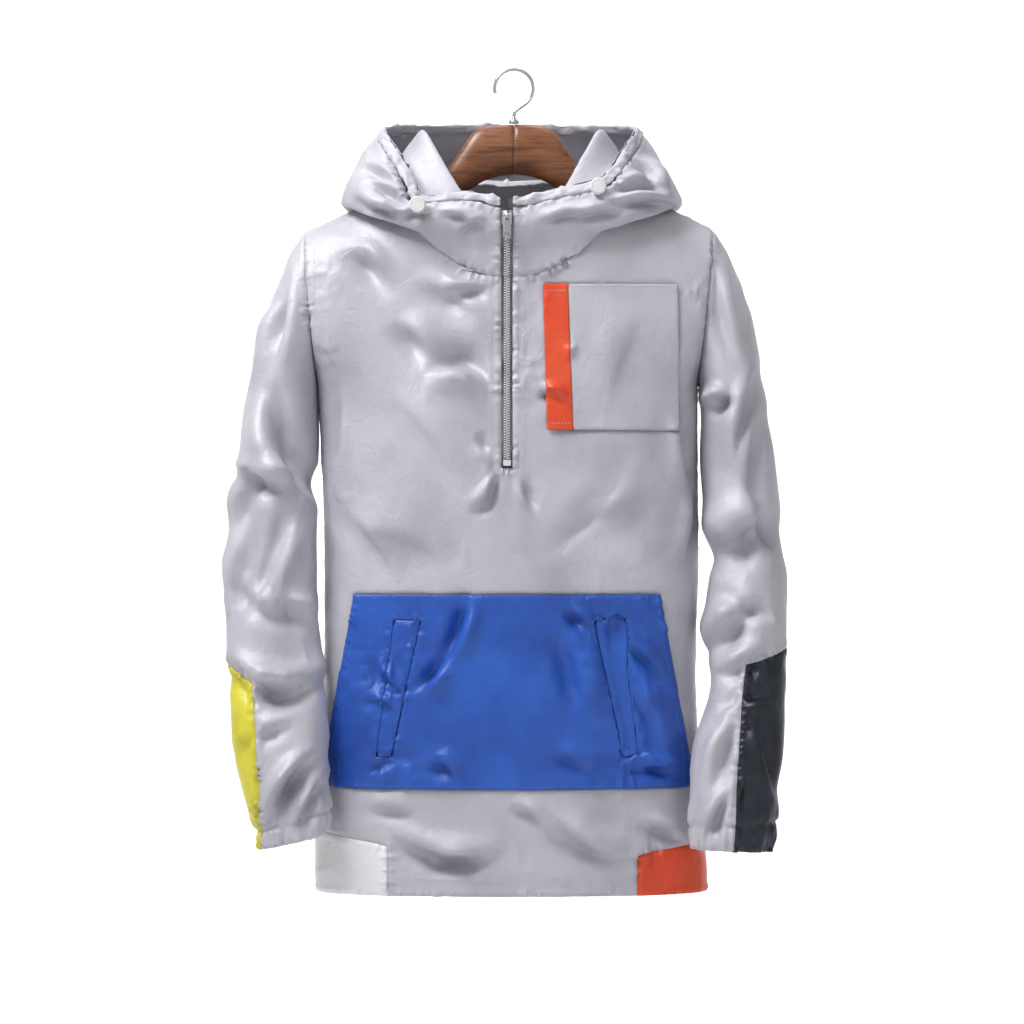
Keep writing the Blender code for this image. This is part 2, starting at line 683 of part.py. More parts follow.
# ---------------------------------------------------------------- sleeves
def sleeve_point(side, ring, angle):
    """A point of a sleeve's middle surface; ring may lie between two rows of its table."""
    table = SLEEVES[side]
    values = [np.interp(ring, np.arange(len(table)), table[:, k]) for k in range(table.shape[1])]
    outer_x, outer_down, inner_x, inner_down, middle_y, depth, sag = values
    turn = math.radians(angle)
    inward = (1 - math.cos(turn)) / 2
    side_on = math.sin(turn)
    shift = 0.0
    for at, at_angle, slope, width, fold_depth in SLEEVE_FOLDS[side]:
        off = (angle - at_angle + 180) % 360 - 180
        window = math.exp(-((off / 75) ** 2))
        shift += fold_depth * window * math.exp(-(((ring - at - slope * off) / width) ** 2))
    shift *= min(1.0, ring / 2) * min(1.0, max(0.0, (len(table) - 1.5 - ring) / 2))
    x = outer_x + (inner_x - outer_x) * inward
    down = outer_down + (inner_down - outer_down) * inward + sag * side_on**2
    y = middle_y - depth * side_on
    x += shift * math.cos(turn) * (-SIGN[side])
    y += shift * side_on
    armhole_gap = max(0.0, 1 - ring) * (0.6 + 0.8 * inward)
    return (x + SIGN[side] * armhole_gap, y, -down)


def seam_angle(table, side, ring):
    values = table[side]
    return float(np.interp(ring - PANEL_RING, np.arange(len(values)), values))


def sleeve_angles(side, ring):
    """Angles of the grid lines round a sleeve; the first ones lie across the forearm panel."""
    front = seam_angle(PANEL_FRONT_SEAM, side, ring)
    back = seam_angle(PANEL_BACK_SEAM, side, ring)
    across = [back + (front - back) * k / PANEL_CELLS for k in range(PANEL_CELLS)]
    rest = SLEEVE_CELLS - PANEL_CELLS
    round_rest = [front + (back + 360 - front) * k / rest for k in range(rest)]
    return across + round_rest


def sleeve(side, cloth, panel_finish):
    last = len(SLEEVES[side]) - 1
    grid = [[sleeve_point(side, ring, a) for a in sleeve_angles(side, ring)] for ring in range(last + 1)]
    skip = cells(PANEL_RING, last, 0, PANEL_CELLS)
    thickness = [CLOTH] * last + [HEM_CLOTH]
    thickness[-2] = HEM_CLOTH
    wall(f"sleeve_{side}", grid, cloth["silver_nylon"], thickness, skip, closed=True)

    rings = [PANEL_RING + 0.02] + list(range(PANEL_RING + 1, last + 1))
    panel = []
    for ring in rings:
        front = seam_angle(PANEL_FRONT_SEAM, side, ring) - PANEL_GAP_ANGLE
        back = seam_angle(PANEL_BACK_SEAM, side, ring) + PANEL_GAP_ANGLE
        angles = [back + (front - back) * k / PANEL_CELLS for k in range(PANEL_CELLS + 1)]
        panel.append([sleeve_point(side, ring, a) for a in angles])
    thickness = [CLOTH] * (len(rings) - 2) + [HEM_CLOTH] * 2
    wall(f"forearm_panel_{side}", panel, panel_finish, thickness)


# ---------------------------------------------------------------- hood
def neckline(side, front, back):
    """The body's neckline from the zip round to the middle of the back, as points."""
    count = len(LINE_NAMES)
    neck = LINE_NAMES.index("welt_outer")
    if side == "left":
        front_part = front[-1, count : count + neck + 1]
    else:
        front_part = front[-1, count - 1 - neck : count][::-1]
    middle = len(BACK_ANGLES) - 1
    if side == "left":
        back_part = back[-1, middle : middle + 3][::-1]
    else:
        back_part = back[-1, middle - 2 : middle + 1]
    return np.concatenate([front_part, back_part[1:]])


def along_polyline(points, share):
    steps = np.linalg.norm(np.diff(points, axis=0), axis=1)
    reached = np.concatenate([[0], np.cumsum(steps)])
    at = share * reached[-1]
    return np.array([np.interp(at, reached, points[:, k]) for k in range(3)])


def neck_points(neck, shares):
    """Points of the neckline under the hood's columns, whose shares run over the stations."""
    stations = np.interp(shares, np.linspace(0, 1, len(HOOD_STATIONS)), HOOD_STATIONS)
    return np.array([along_polyline(neck, neck_share(neck, s)) for s in stations])


def to_neck_middle(points):
    """Level unit directions from points of the neckline to the middle of the neck."""
    away = np.array((ZIP_X, 0.0, 0.0)) - points
    away[:, 2] = 0
    return away / np.linalg.norm(away, axis=1, keepdims=True)


def clear_of_body(point, clearance):
    """Lifts a point of the hood off the shoulder or the chest below it."""
    face = "front" if point[1] < 0 else "back"

    def depth(x, down):
        return abs(body_point("left" if x > ZIP_X else "right", face, abs(x - ZIP_X), down)[1])

    x, y, down = point[0], abs(point[1]), -point[2]
    side = "left" if x > ZIP_X else "right"
    top = shoulder_down(side, abs(x - ZIP_X))
    if abs(x - ZIP_X) > SHOULDER[side][0] or down < top - clearance:
        return point
    if y < clearance:
        return np.array((x, point[1], -(top - clearance)))
    for _ in range(4):
        across, lower = depth(x + 1, down) - depth(x, down), depth(x, down + 1) - depth(x, down)
        steep = math.sqrt(1 + across**2 + lower**2)
        short = clearance - (y - depth(x, down)) / steep
        if short <= 0:
            break
        x, y, down = x - across * short / steep, y + short / steep, down - lower * short / steep
    return np.array((x, FACE[face] * y, -down))


def neck_share(points, station):
    """Share of the neckline's length for a hood station: the neck's side is at station 0.56."""
    steps = np.linalg.norm(np.diff(points, axis=0), axis=1)
    side_share = steps[: LINE_NAMES.index("welt_outer")].sum() / steps.sum()
    return float(np.interp(station, (0, 0.56, 1), (0, side_share, 1)))


def side_points(table, side, rise=None):
    points = np.array(table, dtype=float)
    points[:, 2] *= -1
    if side == "left":
        points[:, 0] = HOOD_SHIFT_LEFT - points[:, 0]
        if rise is not None:
            points[:, 2] += np.array(rise)
    return points


def hood_shapes(side, front, back):
    """Grids of the hood's shell, its tunnel's middle line and its facing, for one side."""
    neck = neckline(side, front, back)
    lift, under, low, crest = (side_points(t, side) for t in (HOOD_LIFT, HOOD_UNDER, HOOD_LOW, HOOD_CREST))
    edge = side_points(HOOD_EDGE, side, HOOD_EDGE_LEFT_RISE)
    shares = np.linspace(0, 1, HOOD_COLUMNS)
    dense = [curve_through(line, shares) for line in (lift, under, low, crest, edge)]
    starts = neck_points(neck, shares)
    starts += to_neck_middle(starts) * GAP
    starts[:, 2] += GAP
    dense = np.stack([starts, *dense])  # profile, column, xyz
    shell = np.stack([curve_through(dense[:, k], np.linspace(0, 1, HOOD_ROWS)) for k in range(HOOD_COLUMNS)], axis=1)
    for r in range(HOOD_ROWS):
        for k in range(HOOD_COLUMNS):
            shell[r, k] = clear_of_body(shell[r, k], min(LAYER + 0.3 + 1.0 * r, HOOD_CLEARANCE))
    shell[:, 0, 0] = ZIP_X + SIGN[side] * (ZIP_SLIT + 0.5)
    shell[:, -1, 0] = ZIP_X + SIGN[side] * HOOD_MIDDLE_GAP
    return shell


def tunnel_frame(shell):
    """Middle line of the drawcord tunnel along the shell's free edge, with its two directions."""
    edge, before = shell[-1], shell[-2]
    inward = edge - before
    inward /= np.linalg.norm(inward, axis=1, keepdims=True)
    along = np.gradient(edge, axis=0)
    along /= np.linalg.norm(along, axis=1, keepdims=True)
    inward -= along * np.sum(inward * along, axis=1, keepdims=True)
    inward /= np.linalg.norm(inward, axis=1, keepdims=True)
    for end in (0, -1):
        along[end] = (math.copysign(1, along[end, 0]), 0, 0)
        inward[end, 0] = 0
    inward /= np.linalg.norm(inward, axis=1, keepdims=True)
    face = np.cross(along, inward)
    face /= np.linalg.norm(face, axis=1, keepdims=True)
    middle = edge + inward * (TUNNEL["width"] / 2 + 0.5)
    return middle, inward, face


def tunnel(side, shell, finish):
    middle, inward, face = tunnel_frame(shell)
    sides = TUNNEL["sides"]
    vertices = []
    for centre, across, through in zip(middle, inward, face):
        for k in range(sides):
            turn = 2 * math.pi * (k + 0.5) / sides
            vertices.append(
                centre
                + across * TUNNEL["width"] / 2 * math.cos(turn)
                + through * TUNNEL["thickness"] / 2 * math.sin(turn)
            )
    faces = []
    count = len(middle)
    for r in range(count - 1):
        for k in range(sides):
            n = (k + 1) % sides
            faces.append((r * sides + k, r * sides + n, (r + 1) * sides + n, (r + 1) * sides + k))
    faces.append(tuple(range(sides)))
    faces.append(tuple(range((count - 1) * sides, count * sides)))
    make_object(f"hood_tunnel_{side}", vertices, faces, finish)


def facing(side, shell, front, back, finish):
    """The inner layer beside the neck, joined to the tunnel's inner edge and to the neckline."""
    middle, inward, _ = tunnel_frame(shell)
    tunnel_edge = middle + inward * (TUNNEL["width"] / 2 + 1.3)
    neck = neckline(side, front, back)
    hollow, fold, inside = (side_points(t, side) for t in (FACING_HOLLOW, FACING_FOLD, FACING_INSIDE))
    if side == "left":
        hollow[:, 2] += np.array((0, 2, 8, 4, 0, 0, 0))
        fold[:, 0] += 4
    reached = (len(FACING_FOLD) - 1) / (len(HOOD_STATIONS) - 1)
    shares = np.linspace(0.085, reached, FACING_COLUMNS)
    place = np.linspace(0, 1, len(tunnel_edge))
    starts = np.array([[np.interp(s, place, tunnel_edge[:, axis]) for axis in range(3)] for s in shares])
    ends = neck_points(neck, shares)
    ends += to_neck_middle(ends) * 4.0
    ends[:, 2] += 1.2
    dense = [curve_through(line, shares / reached) for line in (hollow, fold, inside)]
    dense = np.stack([starts, *dense, ends])
    grid = [curve_through(dense[:, k], np.linspace(0, 1, FACING_ROWS)) for k in range(FACING_COLUMNS)]
    wall(f"hood_facing_{side}", np.stack(grid, axis=1), finish)


def hood(side, front, back, cloth):
    shell = hood_shapes(side, front, back)
    wall(f"hood_{side}", shell, cloth["silver_nylon"])
    tunnel(side, shell, cloth["silver_nylon"])
    facing(side, shell, front, back, cloth["silver_nylon"])
    return shell


def cord_stopper(side, shell, finish):
    """A cord lock on the tunnel: a short barrel with two ridges, its round end to the front."""
    middle, _, _ = tunnel_frame(shell)
    place = {"right": (-96, 146), "left": (84, 127)}[side]
    target = np.array((place[0], -80.0, -place[1]))
    behind = np.concatenate([middle - (0, TUNNEL["thickness"] / 2, 0), shell.reshape(-1, 3)])
    near = np.linalg.norm((behind - target)[:, (0, 2)], axis=1) < 18
    back_face = behind[near & (behind[:, 1] < -50)][:, 1].min() + {"right": -1.0, "left": 0.9}[side]
    profile = [(0, 6.5), (0.8, 7.6), (3.0, 7.6), (3.4, 8.4), (4.6, 8.4), (5.0, 7.7), (6.6, 7.7), (7.0, 8.6),
               (8.4, 8.6), (8.9, 8.0), (11.6, 8.0), (12.8, 7.0), (13.2, 5.0)]
    turned(f"cord_stopper_{side}", profile, (place[0], back_face, -place[1]), (0, -1, 0), finish, 20)


def neck_label(finish):
    """A bare label inside the back, just under the neck seam."""
    grid = []
    for down in (136, 131.5, 127):
        y = body_point("left", "back", 8, down)[1] - 2.2
        grid.append([(x, y, -down) for x in (-6, 0, 7)])
    wall("neck_label", grid, finish, 0.6)


# ---------------------------------------------------------------- zip
def zip_path(front, shell_right):
    """The zip's middle line from the bottom up: the slit's edge, then the hood's edge."""
    body = front[row("zip_bottom") :, column("right", "slit")]
    stand = shell_right[:, 0]
    points = np.concatenate([body, stand])
    return points[:, 1:]


def zip_strip(name, path, x1, x2, back, thickness, finish):
    """A flat strip along the zip between two distances from its middle, set back from the path."""
    grid = [[(ZIP_X + x, y, z) for x in (x1, x2)] for y, z in path]
    wall(name, grid, finish, thickness, moved_out=-back)


def path_between(path, bottom, top):
    """The part of the zip's line between two heights, ends included."""
    downs = -path[:, 1]
    order = np.argsort(downs)
    inner = [p for p in path if top < -p[1] < bottom]
    ends = [(np.interp(d, downs[order], path[order, 0]), -d) for d in (bottom, top)]
    return np.array([ends[0], *inner, ends[1]])


def zip_pieces(front, shell_right, cloth):
    path = zip_path(front, shell_right)
    top = 150.0
    for side in SIGN:
        sign = SIGN[side]
        x1, x2 = sorted((sign * 1.0, sign * 14.0))
        zip_strip(f"zip_tape_{side}", path_between(path, ZIP_BOTTOM - 3, top), x1, x2, 1.8, 0.8, cloth["zip_tape"])
    slider_top, slider_bottom = 151.0, 165.0
    zip_strip("zip_teeth", path_between(path, ZIP_BOTTOM - 9, slider_bottom + 0.4), -3.0, 3.0, 0.1, 2.0,
              cloth["white_plastic"])
    stop_y = float(path_between(path, ZIP_BOTTOM - 2, ZIP_BOTTOM - 8)[:, 0].mean())
    box("zip_stop", (ZIP_X, stop_y - 0.1, -(ZIP_BOTTOM - 5.2)), (7.5, 2.6, 6.0), cloth["white_plastic"])

    y = float(path_between(path, slider_bottom, slider_top)[:, 0].min())
    middle = (slider_top + slider_bottom) / 2
    plate = box("zip_slider", (ZIP_X, y - 2.5, -middle), (10, 1.8, slider_bottom - slider_top), cloth["zip_metal"])
    post = box("slider_post", (ZIP_X, y - 0.6, -(slider_top + 2.4)), (1.2, 7.4, 3.6), cloth["zip_metal"])
    back_plate = box("slider_back", (ZIP_X, y + 3.5, -middle), (10, 1.2, slider_bottom - slider_top), cloth["zip_metal"])
    pin_y, pin_down = y - 6.2, middle - 2.0
    stem = box("slider_stem", (ZIP_X, y - 4.9, -pin_down), (2.6, 4.4, 5.0), cloth["zip_metal"])
    pin = turned("slider_pin", [(-3.9, 0.9), (3.9, 0.9)], (ZIP_X, pin_y, -pin_down), (1, 0, 0), cloth["zip_metal"], 12)
    for extra in (post, back_plate, stem, pin):
        boolean(plate, extra, "UNION")

    pull_plate(pin_y, pin_down, cloth["zip_metal"])
    return pin_y, pin_down


def pull_plate(pin_y, pin_down, finish):
    """The pull tab: two prongs with eyes round the slider's pin, a plate and a round hole."""
    length, half, thick = 24.0, 4.0, 1.5
    outline = [(-half, -4.2)]
    for k in range(13):
        turn = math.pi + math.pi * k / 12
        outline.append((half * math.cos(turn), -(length - half) + half * math.sin(turn)))
    outline.append((half, -4.2))
    outline.append((half * 0.98, -1.2))
    outline += [(1.75, -1.2), (1.75, -4.6), (-1.75, -4.6), (-1.75, -1.2), (-half * 0.98, -1.2)]
    vertices = [(x, y, z) for y in (-thick / 2, thick / 2) for x, z in outline]
    count = len(outline)
    faces = [tuple(range(count)), tuple(range(count, 2 * count))]
    faces += [(k, (k + 1) % count, (k + 1) % count + count, k + count) for k in range(count)]
    placed = [(ZIP_X + x, y + pin_y, z - pin_down) for x, y, z in vertices]
    plate = make_object("zip_pull", placed, faces, finish, smooth=False)
    for sign in (-1, 1):
        eye = turned(f"pull_eye_{sign}", [(-1.1, 2.1), (1.1, 2.1)], (ZIP_X + sign * 2.85, pin_y, -pin_down),
                     (1, 0, 0), finish, 16)
        boolean(plate, eye, "UNION")
    bore = turned("pull_bore", [(-9, 1.25), (9, 1.25)], (ZIP_X, pin_y, -pin_down), (1, 0, 0), finish, 16)
    hole = turned("pull_hole", [(-4, 2.1), (4, 2.1)], (ZIP_X, pin_y, -(pin_down + 18.5)), (0, 1, 0), finish, 20)
    boolean(plate, bore, "DIFFERENCE")
    boolean(plate, hole, "DIFFERENCE")


# ---------------------------------------------------------------- hanger
def hanger_half(side, finish):
    """One half of the wooden hanger, as rounded sections along its arm."""
    sides = 14
    sign = SIGN[side]
    vertices = []
    for x, top, bottom, half in HANGER_PROFILE:
        middle, height = (top + bottom) / 2, (bottom - top) / 2
        for k in range(sides):
            turn = 2 * math.pi * (k + 0.5) / sides
            c, s = math.cos(turn), math.sin(turn)
            power = 2 / HANGER["square"]
            y = half * math.copysign(abs(c) ** power, c)
            z = height * math.copysign(abs(s) ** power, s)
            vertices.append((sign * x, y, -middle + z))
    faces = []
    count = len(HANGER_PROFILE)
    for r in range(count - 1):
        for k in range(sides):
            n = (k + 1) % sides
            faces.append((r * sides + k, r * sides + n, (r + 1) * sides + n, (r + 1) * sides + k))
    faces.append(tuple(range(sides)))
    faces.append(tuple(range((count - 1) * sides, count * sides)))
    make_object(f"hanger_{side}", vertices, faces, finish)


def hook(finish):
    """The hook: a stem, a turn and a rounded end, in one bent wire with a ferrule at its foot."""
    wire = HOOK["wire"]
    radius = HOOK["inner_radius"] + wire
    centre_down = HOOK["inner_radius"]
    foot = HANGER["crown"] - HOOK["ferrule"] - GAP * 2
    line = [(0.0, -foot)]
    # A short reverse bend carries the stem from under the crown to the side of the turn.
    bend = [(0.0, -(foot - 5)), (1.5, -(foot - 8.5)), (6.5, -(centre_down + 19.2))]
    line += bend
    for k in range(17):
        turn = math.radians(-62 + (180 + 62 - HOOK["end_angle"] - 20) * k / 16)
        line.append((radius * math.cos(turn), -centre_down + radius * math.sin(turn)))
    points = np.array(line)
    steps = np.gradient(points, axis=0)
    steps /= np.linalg.norm(steps, axis=1, keepdims=True)
    sides = 10
    vertices = []
    for (x, z), (dx, dz) in zip(points, steps):
        for k in range(sides):
            turn = 2 * math.pi * k / sides
            across = wire * math.cos(turn)
            vertices.append((x - dz * across, wire * math.sin(turn), z + dx * across))
    faces = []
    for r in range(len(points) - 1):
        for k in range(sides):
            n = (k + 1) % sides
            faces.append((r * sides + k, r * sides + n, (r + 1) * sides + n, (r + 1) * sides + k))
    faces.append(tuple(range(sides)))
    faces.append(tuple(range((len(points) - 1) * sides, len(points) * sides)))
    made = make_object("hanger_hook", vertices, faces, finish)
    ferrule = turned("hook_ferrule", [(0, HOOK["ferrule_radius"]), (2.6, HOOK["ferrule_radius"]), (4.6, 3.2)],
                     (0, 0, -(HANGER["crown"] - GAP)), (0, 0, 1), finish, 16)
    boolean(made, ferrule, "UNION")


def main():
    for old in list(bpy.data.objects):
        bpy.data.objects.remove(old, do_unlink=True)
    cloth = finishes()
    front, back = front_grid(), back_grid()
    front_piece(front, cloth)
    back_piece(back, cloth)
    hem_panel("right", cloth["white_nylon"])
    hem_panel("left", cloth["orange_nylon"])
    pockets(front, cloth)
    sleeve("right", cloth, cloth["yellow_nylon"])
    sleeve("left", cloth, cloth["navy_nylon"])
    shells = {side: hood(side, front, back, cloth) for side in SIGN}
    for side in SIGN:
        cord_stopper(side, shells[side], cloth["white_plastic"])
    zip_pieces(front, shells["right"], cloth)
    neck_label(cloth["white_nylon"])
    for side in SIGN:
        hanger_half(side, cloth["wood"])
    hook(cloth["chrome"])


main()
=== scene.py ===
import math

import bmesh
import bpy
import numpy as np
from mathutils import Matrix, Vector
from mathutils.bvhtree import BVHTree
from mathutils.kdtree import KDTree


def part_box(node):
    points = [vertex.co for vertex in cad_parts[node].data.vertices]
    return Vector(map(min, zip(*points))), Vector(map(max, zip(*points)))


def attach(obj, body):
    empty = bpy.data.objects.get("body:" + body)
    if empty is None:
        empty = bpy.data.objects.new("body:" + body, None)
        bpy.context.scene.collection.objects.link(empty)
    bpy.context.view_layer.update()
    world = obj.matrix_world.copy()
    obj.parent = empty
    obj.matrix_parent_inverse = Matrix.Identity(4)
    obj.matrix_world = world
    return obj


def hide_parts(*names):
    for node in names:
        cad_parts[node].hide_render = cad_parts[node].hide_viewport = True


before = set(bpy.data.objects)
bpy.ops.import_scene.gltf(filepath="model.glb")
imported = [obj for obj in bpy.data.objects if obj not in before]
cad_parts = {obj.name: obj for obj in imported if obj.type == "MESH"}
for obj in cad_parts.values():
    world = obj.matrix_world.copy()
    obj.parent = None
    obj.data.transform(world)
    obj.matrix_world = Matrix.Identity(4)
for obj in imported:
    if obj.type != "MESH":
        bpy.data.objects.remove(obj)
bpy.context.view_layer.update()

mm = 0.001
scene = bpy.context.scene
zipX = (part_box("zip_teeth")[0][0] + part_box("zip_teeth")[1][0]) / 2


def linear(hexColour):
    values = [int(hexColour[i:i + 2], 16) / 255 for i in (1, 3, 5)]
    return tuple(v / 12.92 if v <= 0.04045 else ((v + 0.055) / 1.055) ** 2.4 for v in values) + (1.0,)


def addNode(tree, kind, settings=None, links=None):
    # settings by socket name or property name, links as socket: other socket
    node = tree.nodes.new(kind)
    for name, value in (settings or {}).items():
        if name in node.inputs:
            node.inputs[name].default_value = value
        else:
            setattr(node, name, value)
    for name, socket in (links or {}).items():
        tree.links.new(socket, node.inputs[name])
    return node


def newMaterial(name):
    material = bpy.data.materials.new(name)
    material.use_nodes = True
    tree = material.node_tree
    return material, tree, tree.nodes["Principled BSDF"]


def onlySelect(*objects):
    for other in bpy.context.selected_objects:
        other.select_set(False)
    for item in objects:
        item.select_set(True)
    bpy.context.view_layer.objects.active = objects[0]


def smoothStep(low, high, values):
    t = np.clip((values - low) / (high - low), 0, 1)
    return t * t * (3 - 2 * t)


def noise(points, size, seed=0):
    # smooth random values from -1 to 1 at points in metres; size is the grain in mm
    grid = points / (np.array(size) * mm) + seed * 17.31
    cell = np.floor(grid)
    part = grid - cell
    fade = part ** 3 * (part * (part * 6 - 15) + 10)
    total = np.zeros(len(points))
    for corner in np.ndindex(2, 2, 2):
        at = cell + corner
        hashed = np.sin(at @ (127.1, 311.7, 74.7) + seed) * 43758.5453
        weight = np.prod(np.where(np.array(corner) == 1, fade, 1 - fade), axis=1)
        total += weight * (hashed - np.floor(hashed))
    return total * 2 - 1


def ridged(points, size, seed=0):
    # sharp ridges between soft hollows, from 0 to 1
    return (1 - np.abs(noise(points, size, seed))) ** 3

view = {"distance": 3.0, "lens": 105.5, "centre": (-0.002, -0.075, -0.452)}


def makeCamera():
    x, y, z = view["centre"]
    bpy.ops.object.camera_add(location=(x, y - view["distance"], z), rotation=(math.pi / 2, 0, 0))
    camera = bpy.context.object
    camera.name = "camera"
    camera.data.lens = view["lens"]
    camera.data.sensor_width = 36
    scene.camera = camera


studio = {
    # name: place, aims at, width, height, watts
    "key": ((-1.25, -1.0, 1.6), (0.0, 0.0, -0.42), 1.2, 0.9, 58),
    "fill": ((1.7, -2.6, -0.2), (0.05, 0.0, -0.45), 1.2, 1.6, 3),
    "top": ((0.05, 0.25, 1.0), (0.0, 0.0, -0.1), 0.7, 0.4, 4),
    "wallLeft": ((-2.2, 2.2, 0.6), (-1.0, 4.4, -0.5), 2.4, 1.6, 90),
    "wallRight": ((2.2, 2.2, 0.6), (1.0, 4.4, -0.5), 2.4, 1.6, 90),
    "floorLevel": -1.5,
}


def makeStudio():
    for name, row in studio.items():
        if name == "floorLevel":
            continue
        place, aim, width, height, watts = row
        bpy.ops.object.light_add(type="AREA", location=place)
        light = bpy.context.object
        light.name = name + "Light"
        light.data.shape = "RECTANGLE"
        light.data.size = width
        light.data.size_y = height
        light.data.energy = watts
        light.rotation_euler = (Vector(aim) - Vector(place)).to_track_quat("-Z", "Y").to_euler()
    world = bpy.data.worlds.new("studio")
    world.use_nodes = True
    world.node_tree.nodes["Background"].inputs["Color"].default_value = linear("#F4F5F8")
    world.node_tree.nodes["Background"].inputs["Strength"].default_value = 0.06
    scene.world = world
    scene.view_settings.view_transform = "Standard"

    # floor and back wall in one sheet of painted board, with a wide curve between
    bpy.ops.mesh.primitive_plane_add(size=1, location=(0, 0, studio["floorLevel"]))
    sweep = bpy.context.object
    sweep.name = "backdrop"
    onlySelect(sweep)
    sweep.scale = (16, 9, 1)
    bpy.ops.object.transform_apply(location=True, rotation=False, scale=True)
    bpy.ops.object.mode_set(mode="EDIT")
    shape = bmesh.from_edit_mesh(sweep.data)
    for edge in shape.edges:
        edge.select = all(vert.co.y > 4.4 for vert in edge.verts)
    bmesh.update_edit_mesh(sweep.data)
    bpy.ops.mesh.extrude_region_move(TRANSFORM_OT_translate={"value": (0, 0, 8)})
    shape = bmesh.from_edit_mesh(sweep.data)
    for edge in shape.edges:
        low, high = sorted(vert.co.z for vert in edge.verts)
        edge.select = high < 0 and all(vert.co.y > 4.4 for vert in edge.verts)
    bmesh.update_edit_mesh(sweep.data)
    bpy.ops.mesh.bevel(offset=1.6, segments=12, affect="EDGES")
    bpy.ops.object.mode_set(mode="OBJECT")
    bpy.ops.object.shade_smooth()
    board, tree, shader = newMaterial("painted_board")
    shader.inputs["Base Color"].default_value = linear("#FBFBFC")
    shader.inputs["Roughness"].default_value = 0.9
    sweep.data.materials.append(board)


def makeNylon(name, base, light, shade, rough=0.36, sheen=0.12, crinkle=1.0, metallic=0.0):
    # nylon taffeta, woven from smooth filament and calendered: a silky gloss that breaks up on fine creases
    material, tree, shader = newMaterial(name)
    place = addNode(tree, "ShaderNodeTexCoord")
    weaveMap = addNode(tree, "ShaderNodeMapping", {"Scale": (1000, 1000, 1000)},
                       {"Vector": place.outputs["UV"]})
    fade = addNode(tree, "ShaderNodeTexNoise", {"Scale": 14.0, "Detail": 3.0, "Roughness": 0.55},
                   {"Vector": place.outputs["Object"]})
    ramp = addNode(tree, "ShaderNodeValToRGB", links={"Fac": fade.outputs["Fac"]})
    ramp.color_ramp.elements[0].position = 0.30
    ramp.color_ramp.elements[1].position = 0.72
    ramp.color_ramp.elements[0].color = linear(shade)
    ramp.color_ramp.elements[1].color = linear(light)
    middle = ramp.color_ramp.elements.new(0.5)
    middle.color = linear(base)
    # real threads lie about 0.2 mm apart; drawn 0.44 mm apart so that they show
    threadScale = 0.7161956
    warp = addNode(tree, "ShaderNodeTexWave", {"Scale": threadScale, "bands_direction": "X"},
                   {"Vector": weaveMap.outputs["Vector"]})
    weft = addNode(tree, "ShaderNodeTexWave", {"Scale": threadScale, "bands_direction": "Y"},
                   {"Vector": weaveMap.outputs["Vector"]})
    threads = addNode(tree, "ShaderNodeMath", {"operation": "MULTIPLY"})
    tree.links.new(warp.outputs["Fac"], threads.inputs[0])
    tree.links.new(weft.outputs["Fac"], threads.inputs[1])
    # handling creases, 10 to 30 mm long
    creases = addNode(tree, "ShaderNodeTexNoise",
                      {"Scale": 60.0, "Detail": 6.0, "Roughness": 0.55, "Distortion": 1.6},
                      {"Vector": place.outputs["Object"]})
    weaveBump = addNode(tree, "ShaderNodeBump", {"Strength": 0.12, "Distance": 0.00012},
                        {"Height": threads.outputs["Value"]})
    creaseBump = addNode(tree, "ShaderNodeBump", {"Strength": 0.55 * crinkle, "Distance": 0.0018},
                         {"Height": creases.outputs["Fac"], "Normal": weaveBump.outputs["Normal"]})
    roughRange = addNode(tree, "ShaderNodeMapRange", {"To Min": rough - 0.05, "To Max": rough + 0.09},
                         {"Value": creases.outputs["Fac"]})
    tree.links.new(ramp.outputs["Color"], shader.inputs["Base Color"])
    tree.links.new(roughRange.outputs["Result"], shader.inputs["Roughness"])
    tree.links.new(creaseBump.outputs["Normal"], shader.inputs["Normal"])
    shader.inputs["IOR"].default_value = 1.53
    shader.inputs["Metallic"].default_value = metallic
    shader.inputs["Sheen Weight"].default_value = sheen
    shader.inputs["Sheen Roughness"].default_value = 0.45
    return material


